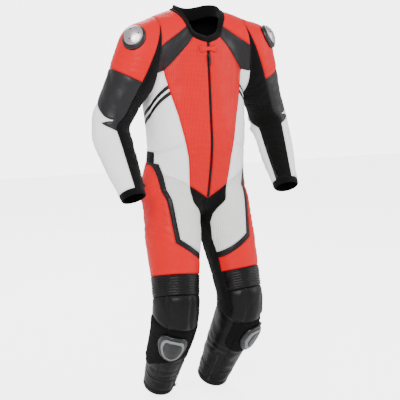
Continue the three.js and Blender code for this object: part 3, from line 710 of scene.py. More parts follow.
bend_arm = along - upper_arm[4]
bend_leg = down - thigh[4]
crook = np.clip(np.cos(np.radians(turn - 110)), 0, 1)
hollow = np.clip(-np.cos(np.radians(round_leg - 70)), 0, 1)
push = 2.0 * waves(signed, 120, 1) + 0.9 * waves(signed, 42, 2)
push += np.where(arm, 3.4 * window(bend_arm, -4, 46) * crook * folds(bend_arm, 17, signed, 3), 0)
push += np.where(arm, 1.9 * window(bend_arm, 120, 90) * folds(bend_arm + turn * 0.25, 34, signed, 4), 0)
push += np.where(arm, 2.1 * window(along, 120, 80) * folds(along - turn * 0.3, 38, signed, 5), 0)
push += np.where(leg, 3.6 * window(bend_leg, 0, 60) * hollow * folds(bend_leg, 21, signed, 6), 0)
push += np.where(leg, 2.4 * window(bend_leg, 215, 75) * folds(bend_leg + round_leg * 0.3, 36, signed, 7), 0)
push += np.where(leg, 2.3 * window(down, 70, 75) * folds(p[:, 2] - p[:, 0] * 0.6, 40, signed, 8), 0)
push += np.where(~arm, 2.4 * window(p[:, 2], -440, 52) * folds(p[:, 2] + p[:, 0] * 0.25, 31, signed, 9), 0)
push += np.where(~arm, 2.4 * window(p[:, 2], -600, 40) * folds(p[:, 2] + p[:, 0] * 0.75, 27, signed, 10), 0)
push += np.where(
    arm,
    6.5 * window(bend_arm, 14, 62) * np.clip(-np.cos(np.radians(turn - 118)), 0, 1) ** 1.5,
    0,
)
push += np.where(leg, 6.0 * window(bend_leg, -6, 55) * np.clip(np.cos(np.radians(round_leg - 68)), 0, 1), 0)
push *= np.clip(seam_gap / 14, 0.25, 1)
push += np.where(seam_gap < 4, -1.5 * (1 - seam_gap / 4), 0) + 1.3 * (1 - np.exp(-seam_gap / 9))
names_at = [set(whole[f.index] for f in v.link_faces) for v in work.verts]
ribbed = np.array([any(n.startswith("knee_ribs") for n in found) for found in names_at])
push += np.where(ribbed, 2.3 * np.abs(np.sin((down - ribs_top) / rib_pitch * math.pi)) - 0.6, 0)
# The leather lies flat under the short zips, so that their sliders run free.
for start, way in (
    ((263.1, -110.0, -544.7), (-0.009, 0.525, 0.851)),
    ((71.5, 39.1, -1308.8), (-0.004, -0.554, 0.833)),
):
    start, way = np.array(start), np.array(way)
    reach = np.clip((p - start) @ way, -20, 130)
    gap = np.linalg.norm(p - start - reach[:, None] * way, axis=1)
    push = np.where(
        gap < 30,
        push * np.clip((gap - 14) / 16, 0, 1) - 1.2 * np.clip((30 - gap) / 16, 0, 1),
        push,
    )
fixed = np.array([any(n in ("none", "zip_tape") for n in found) for found in names_at])
push = np.where(fixed, -1.2, push)
signed = signed + normal * push[:, None]
for v, place in zip(work.verts, signed):
    v.co = place / 1000
work.normal_update()
surface = BVHTree.FromBMesh(work)
normal = np.array([v.normal for v in work.verts])
faces = [[v.index for v in f.verts] for f in work.faces]


def on_skin(point, way):
    """Where a line from the point along the way first meets the skin, in metres, and the normal there."""
    hit, facing, _, _ = surface.ray_cast(Vector(point), Vector(way))
    return hit, facing


# ---- Leathers and fabrics ------------------------------------------------------------------------
# Pebbled hide in four colours, some of it punched with small holes; ribbed stretch fabric; the black lining.


def node_material(name, colour, rough, spread=0.04):
    """A surface whose colour drifts slightly. Returns the material and its tree, shader and coordinates."""
    material = bpy.data.materials.new(name)
    material.use_nodes = True
    tree = material.node_tree
    shader = tree.nodes["Principled BSDF"]
    shader.inputs["Roughness"].default_value = rough
    place = tree.nodes.new("ShaderNodeTexCoord").outputs["Object"]
    drift = tree.nodes.new("ShaderNodeTexNoise")
    drift.inputs["Scale"].default_value = 14
    drift.inputs["Detail"].default_value = 6
    tree.links.new(place, drift.inputs["Vector"])
    mix = tree.nodes.new("ShaderNodeMix")
    mix.data_type = "RGBA"
    mix.inputs[6].default_value = (*[c * (1 - spread * 2.2) for c in colour], 1)
    mix.inputs[7].default_value = (*[min(1, c * (1 + spread)) for c in colour], 1)
    tree.links.new(drift.outputs["Fac"], mix.inputs[0])
    tree.links.new(mix.outputs[2], shader.inputs["Base Color"])
    return material, tree, shader, place, mix


def math_node(tree, kind, a, b=0.0):
    node = tree.nodes.new("ShaderNodeMath")
    node.operation = kind
    for socket, value in zip(node.inputs, (a, b)):
        if isinstance(value, (int, float)):
            socket.default_value = value
        else:
            tree.links.new(value, socket)
    return node.outputs[0]


def bump(tree, shader, height, depth, strength=1.0):
    node = tree.nodes.new("ShaderNodeBump")
    node.inputs["Distance"].default_value = depth
    node.inputs["Strength"].default_value = strength
    tree.links.new(height, node.inputs["Height"])
    tree.links.new(node.outputs[0], shader.inputs["Normal"])


def srgb(r, g, b):
    return [((c / 255 + 0.055) / 1.055) ** 2.4 if c > 10 else c / 255 / 12.92 for c in (r, g, b)]


def scuffed(tree, shader, place, scale, depth, strength=0.5, streak=None):
    """Fine scratches in a hard surface. The streak draws them out across it."""
    noise = tree.nodes.new("ShaderNodeTexNoise")
    noise.inputs["Scale"].default_value = scale
    if streak:
        noise.inputs["Detail"].default_value = 8
        drawn = tree.nodes.new("ShaderNodeMapping")
        drawn.inputs["Scale"].default_value = (1, 1, streak)
        tree.links.new(place, drawn.inputs["Vector"])
        place = drawn.outputs[0]
    tree.links.new(place, noise.inputs["Vector"])
    bump(tree, shader, noise.outputs["Fac"], depth, strength)


def leather(name, colour, rough=0.42, holes=False, gloss=0.2):
    material, tree, shader, place, mix = node_material(name, colour, rough)
    grain = tree.nodes.new("ShaderNodeTexVoronoi")
    grain.feature = "DISTANCE_TO_EDGE"
    grain.inputs["Scale"].default_value = 520
    crease = tree.nodes.new("ShaderNodeTexNoise")
    crease.inputs["Scale"].default_value = 46
    crease.inputs["Detail"].default_value = 5
    crease.inputs["Distortion"].default_value = 0.6
    tree.links.new(place, grain.inputs["Vector"])
    tree.links.new(place, crease.inputs["Vector"])
    pebble = math_node(tree, "MINIMUM", grain.outputs["Distance"], 0.16)
    height = math_node(tree, "MULTIPLY_ADD", crease.outputs["Fac"], 2.4)
    tree.links.new(pebble, height.node.inputs[2])
    if holes:
        cell = tree.nodes.new("ShaderNodeVectorMath")
        cell.operation = "MULTIPLY"
        cell.inputs[1].default_value = (200, 0, 235)
        tree.links.new(place, cell.inputs[0])
        part = tree.nodes.new("ShaderNodeVectorMath")
        part.operation = "FRACTION"
        tree.links.new(cell.outputs[0], part.inputs[0])
        off = tree.nodes.new("ShaderNodeVectorMath")
        off.operation = "SUBTRACT"
        off.inputs[1].default_value = (0.5, 0, 0.5)
        tree.links.new(part.outputs[0], off.inputs[0])
        length = tree.nodes.new("ShaderNodeVectorMath")
        length.operation = "LENGTH"
        tree.links.new(off.outputs[0], length.inputs[0])
        solid = tree.nodes.new("ShaderNodeMapRange")
        solid.inputs["From Min"].default_value = 0.13
        solid.inputs["From Max"].default_value = 0.22
        tree.links.new(length.outputs["Value"], solid.inputs["Value"])
        # The holes are painted darker in the leather's own hue: partly the dark lining seen through them,
        # partly painted shade inside each hole.
        dark = tree.nodes.new("ShaderNodeMix")
        dark.data_type = "RGBA"
        dark.inputs[6].default_value = (*[c * 0.22 for c in colour], 1)
        tree.links.new(mix.outputs[2], dark.inputs[7])
        tree.links.new(solid.outputs[0], dark.inputs[0])
        tree.links.new(dark.outputs[2], shader.inputs["Base Color"])
        height = math_node(tree, "ADD", height, solid.outputs[0])
    shader.inputs["Specular IOR Level"].default_value = gloss
    bump(tree, shader, height, 0.0006, 0.55)
    return material


def fabric(name, colour, rough, pitch, depth):
    """Woven or knitted cloth: two sets of fine ribs crossing."""
    material, tree, shader, place, _ = node_material(name, colour, rough, 0.12)
    shader.inputs["Sheen Weight"].default_value = 0.04
    shader.inputs["Specular IOR Level"].default_value = 0.1
    ribs = []
    for axis in ("X", "Z", "Y"):
        wave = tree.nodes.new("ShaderNodeTexWave")
        wave.bands_direction = axis
        wave.inputs["Scale"].default_value = 0.314 / pitch
        wave.inputs["Distortion"].default_value = 0.4
        tree.links.new(place, wave.inputs["Vector"])
        ribs.append(wave.outputs["Fac"])
    height = math_node(tree, "ADD", math_node(tree, "MAXIMUM", ribs[0], ribs[2]), ribs[1])
    bump(tree, shader, height, depth, 0.7)
    return material


red = leather("red_leather", (0.63, 0.0010, 0.0055), gloss=0.12)
red_holes = leather("red_leather_perforated", (0.65, 0.0012, 0.0060), holes=True, gloss=0.12)
white = leather("white_leather", srgb(246, 247, 247), 0.46)
white_holes = leather("white_leather_perforated", srgb(228, 228, 226), 0.48, holes=True)
grey = leather("grey_leather", srgb(28, 27, 29), 0.4, gloss=0.24)
black = leather("black_leather", srgb(10, 9, 11), 0.37, gloss=0.17)
dark_stripe = leather("stripe_leather", srgb(18, 17, 19), 0.42)
knit_stretch = fabric("stretch_fabric", (0.0022, 0.0019, 0.0018), 0.85, 0.0016, 0.0005)
collar_knit = fabric("collar_knit", (0.0022, 0.0021, 0.0022), 0.88, 0.0022, 0.0007)
lining = fabric("mesh_lining", (0.002, 0.002, 0.0024), 0.92, 0.002, 0.0004)

# ---- Leather panels ------------------------------------------------------------------------------
# Each panel is a hide with its own wall of 2.6 mm and a lining inside, sewn edge to edge to its neighbours.
# Panels that cross a joint stay where they are, on no body; the others ride the body they are sewn to.

# piece: outer material, finish (it picks the thread colour), the parts of the plain model it stands for, the
# body it rides or the joint it crosses
panel_looks = {
    "front_panel": (red_holes, "red_leather", ["front_panel"], "torso"),
    "chest_yoke": (grey, "grey_leather", ["chest_yoke"], "torso"),
    "shoulder_panel": (red, "red_leather", ["shoulder_panel"], "torso"),
    "side_panel": (white, "white_leather", ["side_panel"], "torso"),
    "side_stripe": (dark_stripe, "grey_leather", [], "torso"),
    "waist_stretch": (knit_stretch, "stretch_fabric", ["waist_stretch_panel"], "torso"),
    "zip_tape": (knit_stretch, "zip", ["front_zip_chain"], "torso"),
    "outer_leg": (red, "red_leather", ["seat_panel", "thigh_outer_panel", "hip_stretch_panel"], "hip"),
    "thigh_front": (white_holes, "white_leather", ["thigh_front_panel"], "hip"),
    "thigh_strip": (dark_stripe, "grey_leather", [], "hip"),
    "inner_leg": (knit_stretch, "stretch_fabric", ["inner_thigh_stretch"], "hip"),
    "knee_ribs": (black, "black_leather", ["knee_stretch_ring"], "knee"),
    "knee_top": (black, "black_leather", [], "knee"),
    "knee_back": (knit_stretch, "stretch_fabric", [], "knee"),
    "shin_panel": (black, "black_leather", ["shin_panel"], "lower_leg"),
    "calf_panel": (black, "black_leather", ["calf_panel"], "lower_leg"),
    "leg_hem": (black, "black_leather", ["leg_hem"], "lower_leg"),
    "sleeve_cap": (red, "red_leather", ["sleeve_cap"], "shoulder"),
    "upper_stretch": (knit_stretch, "stretch_fabric", ["upper_sleeve_stretch"], "shoulder"),
    "upper_sleeve": (grey, "grey_leather", ["upper_sleeve_panel", "elbow_stretch_ring"], "elbow"),
    "forearm_panel": (white, "white_leather", ["forearm_panel"], "elbow"),
    "lower_stretch": (knit_stretch, "stretch_fabric", ["forearm_stretch"], "elbow"),
    "sleeve_cuff": (collar_knit, "black_leather", ["sleeve_cuff"], "lower_sleeve"),
}


def sided(vector, side):
    return [vector[0] * side / 1000, vector[1] / 1000, vector[2] / 1000]


def attach(obj, moves, side):
    """Rides one body. A piece at a joint is left where it stands, on no body."""
    end = "_left" if side > 0 else "_right"
    if moves == "torso":
        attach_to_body(obj, "torso")
    elif moves == "shoulder":
        at, n = armhole
        sided(at + n, side)
        sided(at + n * 21, side)
        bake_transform(obj)
    elif moves == "elbow":
        n = unit(upper_arm[1] + forearm[1])
        sided(elbow - n * 38, side)
        sided(elbow + n * 38, side)
        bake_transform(obj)
    elif moves == "hip":
        sided((22, 0, -650), side)
        sided((92, 0, -730), side)
        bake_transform(obj)
    elif moves == "knee":
        n = unit(thigh[1] + shin[1])
        sided(knee - n * 66, side)
        sided(knee + n * 22, side)
        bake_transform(obj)
    else:
        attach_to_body(obj, moves + end)


def new_object(name, points, polygons, materials, which=None, smooth=True):
    mesh = bpy.data.meshes.new(name)
    mesh.from_pydata([tuple(q) for q in points], [], polygons)
    for material in materials:
        mesh.materials.append(material)
    if which is not None:
        mesh.polygons.foreach_set("material_index", np.asarray(which, np.int32))
    mesh.polygons.foreach_set("use_smooth", np.full(len(polygons), smooth))
    mesh.update()
    obj = bpy.data.objects.new(name, mesh)
    bpy.context.scene.collection.objects.link(obj)
    return obj


def skin_slab(name, members, low, high, materials):
    """A sheet that follows the skin's faces, from one height over them to another, in millimetres."""
    used = {}
    for i in members:
        for v in faces[i]:
            used.setdefault(v, len(used))
    order = list(used)
    n = len(order)
    polygons, which, sides = [], [], {}
    for i in members:
        loop = [used[v] for v in faces[i]]
        polygons.append(loop)
        polygons.append([v + n for v in reversed(loop)])
        which += [0, len(materials) - 1]
        for a, b in zip(loop, loop[1:] + loop[:1]):
            sides[(a, b)] = True
    for a, b in sides:
        if (b, a) not in sides:
            polygons.append([b, a, a + n, b + n])
            which.append(0)
    points = np.concatenate([signed[order] + normal[order] * high, signed[order] + normal[order] * low])
    return new_object(name, points / 1000, polygons, materials, which)


wall = 2.6
by_piece = {}
for i, name in enumerate(whole):
    if name != "none":
        by_piece.setdefault(name, []).append(i)
cad_names = {o.name for o in bpy.data.objects}
for name, members in by_piece.items():
    base = name.replace("_left", "").replace("_right", "")
    material, finish, stands_for, moves = panel_looks[base]
    side = -1 if name.endswith("_right") else 1
    obj = skin_slab(name + "_hide", members, -wall, 0, [material, lining])
    attach(obj, moves, side)
    end = "_left" if side > 0 else "_right"
    wanted = [c for part in stands_for for c in (part, part + end) if c in cad_names]
    if wanted:
        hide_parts(*wanted)

# ---- Stitching -----------------------------------------------------------------------------------
# A row of raised stitches runs beside every seam, 3.6 mm in from it, in thread matched to the panel. Each is
# sewn through the hide, so it moves with its panel.

stitch_bm = bmesh.new()
bmesh.ops.create_cone(stitch_bm, cap_ends=True, segments=5, radius1=0.00042, radius2=0.00042, depth=0.0026)
bmesh.ops.rotate(stitch_bm, verts=stitch_bm.verts, matrix=Matrix.Rotation(math.pi / 2, 3, "Y"))
stitch_mesh = bpy.data.meshes.new("stitch")
stitch_bm.to_mesh(stitch_mesh)
stitch_bm.free()
stitch = bpy.data.objects.new("stitch", stitch_mesh)


def repeat_tree(name, unit_object, pitch, material):
    """Places the unit object along the mesh's edges at the pitch, turned to the edge and to "up"."""
    tree = bpy.data.node_groups.new(name, "GeometryNodeTree")
    tree.interface.new_socket("Geometry", in_out="INPUT", socket_type="NodeSocketGeometry")
    tree.interface.new_socket("Geometry", in_out="OUTPUT", socket_type="NodeSocketGeometry")
    nodes, links = tree.nodes, tree.links
    source, sink = nodes.new("NodeGroupInput"), nodes.new("NodeGroupOutput")
    curve = nodes.new("GeometryNodeMeshToCurve")
    spread = nodes.new("GeometryNodeResampleCurve")
    spread.mode = "LENGTH"
    spread.inputs["Length"].default_value = pitch
    tangent = nodes.new("GeometryNodeInputTangent")
    up = nodes.new("GeometryNodeInputNamedAttribute")
    up.data_type = "FLOAT_VECTOR"
    up.inputs["Name"].default_value = "up"
    turn = nodes.new("FunctionNodeAxesToRotation")
    turn.primary_axis = "X"
    turn.secondary_axis = "Z"
    info = nodes.new("GeometryNodeObjectInfo")
    info.inputs["Object"].default_value = unit_object
    place = nodes.new("GeometryNodeInstanceOnPoints")
    real = nodes.new("GeometryNodeRealizeInstances")
    paint = nodes.new("GeometryNodeSetMaterial")
    paint.inputs["Material"].default_value = material
    links.new(source.outputs[0], curve.inputs["Mesh"])
    links.new(curve.outputs[0], spread.inputs["Curve"])
    links.new(spread.outputs[0], place.inputs["Points"])
    links.new(info.outputs["Geometry"], place.inputs["Instance"])
    links.new(tangent.outputs[0], turn.inputs["Primary Axis"])
    links.new(up.outputs[0], turn.inputs["Secondary Axis"])
    links.new(turn.outputs[0], place.inputs["Rotation"])
    links.new(place.outputs[0], real.inputs[0])
    links.new(real.outputs[0], paint.inputs["Geometry"])
    links.new(paint.outputs[0], sink.inputs[0])
    return tree


def run_tree(name, points, edges, ups, tree):
    """Lines of points with their up vectors, through the tree, as a plain mesh object with materials kept."""
    mesh = bpy.data.meshes.new(name + "_line")
    mesh.from_pydata([tuple(q) for q in points], [tuple(map(int, e)) for e in edges], [])
    mesh.attributes.new("up", "FLOAT_VECTOR", "POINT").data.foreach_set(
        "vector",
        np.asarray(ups, np.float32).ravel(),
    )
    line = bpy.data.objects.new(name + "_line", mesh)
    bpy.context.scene.collection.objects.link(line)
    line.modifiers.new("repeat", "NODES").node_group = tree
    bpy.context.view_layer.update()
    made = bpy.data.meshes.new_from_object(line.evaluated_get(bpy.context.evaluated_depsgraph_get()))
    bpy.data.objects.remove(line)
    obj = bpy.data.objects.new(name, made)
    bpy.context.scene.collection.objects.link(obj)
    return obj


threads = {}
for key, colour in (("red", (120, 8, 8)), ("white", (168, 168, 166)), ("dark", (16, 15, 17))):
    material, tree, shader, place, _ = node_material(key + "_thread", srgb(*colour), 0.6, 0.15)
    twist = tree.nodes.new("ShaderNodeTexWave")
    twist.inputs["Scale"].default_value = 900
    tree.links.new(place, twist.inputs["Vector"])
    bump(tree, shader, twist.outputs["Fac"], 0.0002)
    threads[key] = repeat_tree("stitches_" + key, stitch, 0.004, material)

inset = 3.6
for name, members in by_piece.items():
    base = name.replace("_left", "").replace("_right", "")
    if base in ("zip_tape", "side_stripe", "sleeve_cuff", "knee_ribs"):
        continue
    crossing, points, ups, edges = {}, [], [], []
    for i in members:
        loop = faces[i]
        ends = []
        for a, b in zip(loop, loop[1:] + loop[:1]):
            ga, gb = seam_gap[a] - inset, seam_gap[b] - inset
            if ga * gb < 0:
                key = (min(a, b), max(a, b))
                if key not in crossing:
                    t = ga / (ga - gb)
                    up = unit(normal[a] * (1 - t) + normal[b] * t)
                    crossing[key] = len(points)
                    points.append((signed[a] * (1 - t) + signed[b] * t + up * 0.25) / 1000)
                    ups.append(up)
                ends.append(crossing[key])
        if len(ends) == 2:
            edges.append(ends)
    if not edges:
        continue
    _, finish, _, moves = panel_looks[base]
    kind = "red" if finish.startswith("red") else "white" if finish.startswith("white") else "dark"
    obj = run_tree(name + "_stitches", points, edges, ups, threads[kind])
    attach(obj, moves, -1 if name.endswith("_right") else 1)

# ---- Front zip -----------------------------------------------------------------------------------
# Metal teeth in two interlocked rows on the black tape down the middle of the chest. The slider and its pull
# run on them, each with its own body.

metal, tree, shader, place, _ = node_material("zip_metal", srgb(58, 57, 58), 0.36, 0.1)
shader.inputs["Metallic"].default_value = 1.0
scuffed(tree, shader, place, 900, 0.0001)

tooth_bm = bmesh.new()
bmesh.ops.create_cube(tooth_bm, size=1)
bmesh.ops.scale(tooth_bm, vec=(0.0011, 0.0036, 0.0015), verts=tooth_bm.verts)
bmesh.ops.bevel(tooth_bm, geom=tooth_bm.edges[:], offset=0.00022, segments=1, affect="EDGES")
tooth_mesh = bpy.data.meshes.new("tooth")
tooth_bm.to_mesh(tooth_mesh)
tooth_bm.free()
tooth = bpy.data.objects.new("tooth", tooth_mesh)
tooth_tree = repeat_tree("zip_teeth", tooth, 0.0021, metal)


def teeth(name, path, ups, across, spread):
    """Two rows of teeth along a path, side by side."""
    points, all_ups, edges = [], [], []
    for k in (-1, 1):
        start = len(points)
        for q, up, over in zip(path, ups, across):
            points.append(np.array(q) + np.array(over) * k * spread + np.array(up) * 0.0006)
            all_ups.append(up)
        edges += [(start + i, start + i + 1) for i in range(len(path) - 1)]
    return run_tree(name, points, edges, all_ups, tooth_tree)


path, ups = [], []
for z in np.arange(-0.062, -0.606, -0.006):
    hit, facing = on_skin((0, -0.4, z), (0, 1, 0))
    path.append(hit)
    ups.append(unit([0, facing.y, facing.z]))
zip_teeth = teeth("front_zip_teeth", path, ups, [(1, 0, 0)] * len(path), 0.0013)
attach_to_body(zip_teeth, "torso")


def plate(name, outline, thick, materials, dome=0.0, rim=0.0008, rings=5):
    """A flat or domed plate with rounded edges, over an outline in its own XY plane. z is outwards."""
    outline = np.array(outline, float)
    middle = outline.mean(0)
    n = len(outline)
    levels = [(1.0, 0.0), (1.0, max(thick - rim, thick * 0.4))]
    reach = np.linalg.norm(outline - middle, axis=1).mean()
    levels.append((1 - 0.35 * rim / reach, thick - 0.3 * rim))
    levels.append((1 - rim / reach, thick))
    for k in range(1, rings):
        levels.append(((1 - rim / reach) * (1 - k / rings), thick + dome * (1 - (1 - k / rings) ** 2)))
    points, polygons = [], []
    for scale, z in levels:
        for q in outline:
            points.append((*(middle + (q - middle) * scale), z))
    for k in range(len(levels) - 1):
        for i in range(n):
            j = (i + 1) % n
            polygons.append([k * n + i, k * n + j, (k + 1) * n + j, (k + 1) * n + i])
    points.append((*middle, thick + dome))
    points.append((*middle, 0))
    last = (len(levels) - 1) * n
    for i in range(n):
        j = (i + 1) % n
        polygons.append([last + i, last + j, len(points) - 2])
        polygons.append([j, i, len(points) - 1])
    return new_object(name, points, polygons, materials)


def seat(obj, origin, out, up):
    """Moves a piece's mesh from its own axes (z out of the surface, y up it) to its place in the suit."""
    z = Vector(out).normalized()
    y = (Vector(up) - z * Vector(up).dot(z)).normalized()
    x = y.cross(z)
    turn = Matrix((x, y, z)).transposed().to_4x4()
    turn.translation = Vector(origin)
    obj.data.transform(turn)
    obj.data.update()
    return obj


def rounded(corners, radius, steps=5):
    """An outline with its corners rounded."""
    corners = [np.array(c, float) for c in corners]
    made = []
    for before, here, after in zip(corners[-1:] + corners[:-1], corners, corners[1:] + corners[:1]):
        a = here + unit(before - here) * min(radius, np.linalg.norm(before - here) * 0.49)
        b = here + unit(after - here) * min(radius, np.linalg.norm(after - here) * 0.49)
        for t in np.linspace(0, 1, steps):
            made.append((1 - t) ** 2 * a + 2 * t * (1 - t) * here + t * t * b)
    return made


def join(name, parts):
    """Several meshes made one object, each keeping its materials."""
    mesh = bpy.data.meshes.new(name)
    bm = bmesh.new()
    for part in parts:
        first = len(mesh.materials)
        for material in part.data.materials:
            mesh.materials.append(material)
        before = len(bm.faces)
        bm.from_mesh(part.data)
        bm.faces.ensure_lookup_table()
        for face in bm.faces[before:]:
            face.material_index += first
        bpy.data.objects.remove(part)
    bm.to_mesh(mesh)
    bm.free()
    obj = bpy.data.objects.new(name, mesh)
    bpy.context.scene.collection.objects.link(obj)
    return obj


def zip_slider(name, size):
    """A slider: two plates with a waist between them, a bridge on top."""
    w, t, h = size
    top = plate(
        name + "_a",
        rounded(
            [(-w * 0.5, h * 0.5), (w * 0.5, h * 0.5), (w * 0.42, -h * 0.5), (-w * 0.42, -h * 0.5)],
            w * 0.25,
        ),
        t * 0.36,
        [metal],
        0.0004,
    )
    top.data.transform(Matrix.Translation((0, 0, t * 0.25)))
    bridge = plate(
        name + "_b",
        rounded(
            [(-w * 0.14, h * 0.3), (w * 0.14, h * 0.3), (w * 0.14, -h * 0.34), (-w * 0.14, -h * 0.34)],
            w * 0.1,
        ),
        t * 0.42,
        [metal],
        0.0003,
    )
    bridge.data.transform(Matrix.Translation((0, 0, t * 0.56)))
    neck = plate(
        name + "_c",
        rounded(
            [(-w * 0.2, h * 0.5), (w * 0.2, h * 0.5), (w * 0.1, h * 0.1), (-w * 0.1, h * 0.1)],
            w * 0.08,
        ),
        t * 0.4,
        [metal],
    )
    return join(name, [top, bridge, neck])


run = Vector((0, -0.0910488, -0.995846))
hit, facing = on_skin((0, -0.4, -0.116), (0, 1, 0))
slider = seat(zip_slider("front_zip_slider", (0.011, 0.0066, 0.016)), hit, facing, -run)
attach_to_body(slider, "zip_slider_body")
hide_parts("zip_slider")
pull = plate(
    "front_zip_pull",
    rounded([(-0.0028, 0.0), (0.0028, 0.0), (0.0036, -0.022), (0, -0.027), (-0.0036, -0.022)], 0.0014),
    0.0016,
    [metal],
    0.0002,
)
pull = seat(pull, hit + facing * 0.0072 + run * 0.004, facing, -run)
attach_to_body(pull, "zip_pull_tab")
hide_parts("zip_pull")

# ---- Collar --------------------------------------------------------------------------------------
# A soft knitted band, folded over the edge of the neck opening and sewn down outside and in. It stands up at
# the nape and lies flat at the throat.

neck_turns = np.linspace(0, 2 * np.pi, 120, endpoint=False)
profiles = []
for turn_here in neck_turns:
    way = np.array([math.cos(turn_here), math.sin(turn_here), 0])
    lean = math.sin(turn_here)
    rim_at = np.array([0.0835 * way[0], 0.002 + 0.0745 * way[1], 0])
    probe = rim_at + way * 0.0012
    hit, _ = on_skin((probe[0], probe[1], 0.3), (0, 0, -1))
    edge = np.array([*rim_at[:2], hit.z if hit else 0.04])
    near, facing, _, _ = surface.find_nearest(
        Vector(edge + way * 0.012 + np.array([0, 0, -0.010 * (1 - lean) / 2 - 0.004]))
    )
    foot = np.array(near) + np.array(facing) * 0.0006
    raised = np.array(near) + np.array(facing) * 0.0034
    stand = 0.006 + 0.016 * ((1 + lean) / 2) ** 1.2
    top = edge + np.array([0, 0, stand])
    shoulder_point = edge + way * 0.0046 + np.array([0, 0, 0.0034])
    profile = [
        foot,
        raised,
        (raised + shoulder_point) / 2 + way * 0.0012 + np.array([0, 0, 0.001]),
        shoulder_point,
    ]
    profile += [
        top + way * 0.0028 - [0, 0, 0.003],
        top + way * 0.0010,
        top - way * 0.0018,
        top - way * 0.0042 - [0, 0, 0.003],
    ]
    profile += [
        edge - way * 0.0046,
        edge - way * 0.004 - [0, 0, 0.024],
        edge - way * 0.0015 - [0, 0, 0.026],
    ]
    profiles.append(profile)
profiles = np.array(profiles)
for _ in range(3):
    profiles = (np.roll(profiles, 1, 0) + profiles * 2 + np.roll(profiles, -1, 0)) / 4
rows = profiles.shape[1]
n = len(profiles)
polygons = []
for i in range(n):
    j = (i + 1) % n
    for k in range(rows):
        m = (k + 1) % rows
        polygons.append([i * rows + k, j * rows + k, j * rows + m, i * rows + m])
collar = new_object("collar", profiles.reshape(-1, 3), polygons, [collar_knit])
collar_bm = bmesh.new()
collar_bm.from_mesh(collar.data)
bmesh.ops.recalc_face_normals(collar_bm, faces=collar_bm.faces)
collar_bm.to_mesh(collar.data)
collar_bm.free()
rounding = collar.modifiers.new("rounding", "SUBSURF")
rounding.levels = rounding.render_levels = 2
bpy.context.view_layer.update()
smooth_mesh = bpy.data.meshes.new_from_object(collar.evaluated_get(bpy.context.evaluated_depsgraph_get()))
collar.modifiers.clear()
collar.data = smooth_mesh
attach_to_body(collar, "torso")
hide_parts("collar_band")

# ---- Collar tab ----------------------------------------------------------------------------------
# A waisted leather strap that snaps over the top of the zip. It has a snap cap in each end and stitching
# round it, and it takes the curve of the chest.

hit, facing = on_skin((0, -0.4, -0.09), (0, 1, 0))
bone_shape = []
for turn_here in np.linspace(0, 2 * np.pi, 64, endpoint=False):
    x = 0.036 * math.cos(turn_here)
    high = np.interp(
        abs(x),
        [0, 0.010, 0.021, 0.030, 0.0345, 0.036],
        [0.0068, 0.0070, 0.0115, 0.0120, 0.0085, 0.0],
    )
    bone_shape.append(
        (x, high * (1 if math.sin(turn_here) >= 0 else -1) if abs(math.sin(turn_here)) > 1e-6 else 0)
    )
strap = plate("strap", bone_shape, 0.0036, [red], 0.0004, 0.0010)
snaps = []
for side in (-1, 1):
    ring_shape = [
        (0.0048 * math.cos(t) + side * 0.024, 0.0048 * math.sin(t))
        for t in np.linspace(0, 2 * np.pi, 20, endpoint=False)
    ]
    snap = plate("snap", ring_shape, 0.001, [red], 0.0009, 0.0005)
    snap.data.transform(Matrix.Translation((0, 0, 0.0036)))
    snaps.append(snap)
tab = join("collar_tab_strap", [strap, *snaps])
sewn = [Vector((x * 0.86, y * 0.74, 0.0039)) for x, y in bone_shape]
sewn_edges = [(i, (i + 1) % len(sewn)) for i in range(len(sewn))]
tab_thread = run_tree("collar_tab_stitches", sewn, sewn_edges, [(0, 0, 1)] * len(sewn), threads["red"])
for piece in (tab, tab_thread):
    for v in piece.data.vertices:
        v.co.z += 0.0012 - 0.9 * v.co.x * v.co.x
    seat(piece, hit + facing * 0.0008, facing, (0, 0, 1))
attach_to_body(tab_thread, "collar_snap_tab")
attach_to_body(tab, "collar_snap_tab")
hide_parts("collar_tab")

# ---- Hump and back protector ---------------------------------------------------------------------
# The speed hump is a foam block under leather, sewn on between the shoulder blades. The protector is a foam
# sheet in a pocket of the lining, behind the back.

# height, half width, back
hump_rows = [
    (-6, 24, 128), (-30, 56, 176), (-80, 72, 202), (-140, 74, 200), (-200, 58, 184), (-246, 22, 156),
]
levels = np.linspace(-6, -246, 49)
rings = []
for z, (half, reach) in zip(levels, smooth_rows(hump_rows[::-1], levels)):
    c, s = np.cos(turns), np.sin(turns)
    y = np.where(s > 0, 100 + (reach - 100) * np.abs(s) ** 0.92, 100 + 18 * s)
    rings.append(np.stack([half * c, y, np.full_like(c, z)], 1) / 1000)
hump_bm = bmesh.new()
add_loft(hump_bm, rings)
bmesh.ops.recalc_face_normals(hump_bm, faces=hump_bm.faces)
hump_mesh = bpy.data.meshes.new("hump")
hump_bm.to_mesh(hump_mesh)
hump_bm.free()
hump_mesh.materials.append(black)
hump_mesh.polygons.foreach_set("use_smooth", np.full(len(hump_mesh.polygons), True))
hump = bpy.data.objects.new("hump", hump_mesh)
bpy.context.scene.collection.objects.link(hump)
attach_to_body(hump, "torso")
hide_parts("back_hump")


middle = np.array([signed[f].mean(0) for f in faces])
behind = (middle[:, 1] > 60) & (
    np.abs(middle[:, 0]) < pocket_half_width
) & (middle[:, 2] < pocket_top) & (middle[:, 2] > pocket_foot) & (label != "none")
foam = fabric("protector_foam", srgb(70, 74, 78), 0.8, 0.003, 0.0005)
protector = skin_slab("protector", np.nonzero(behind)[0], -17, -3.6, [foam])
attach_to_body(protector, "torso")
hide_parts("back_protector")

# ---- Knee patches and sliders --------------------------------------------------------------------
# A hook-and-loop patch is sewn over each shin below the knee. The moulded slider holds to it by its backing. It
# is a black plastic rim with a scuffed grey face.

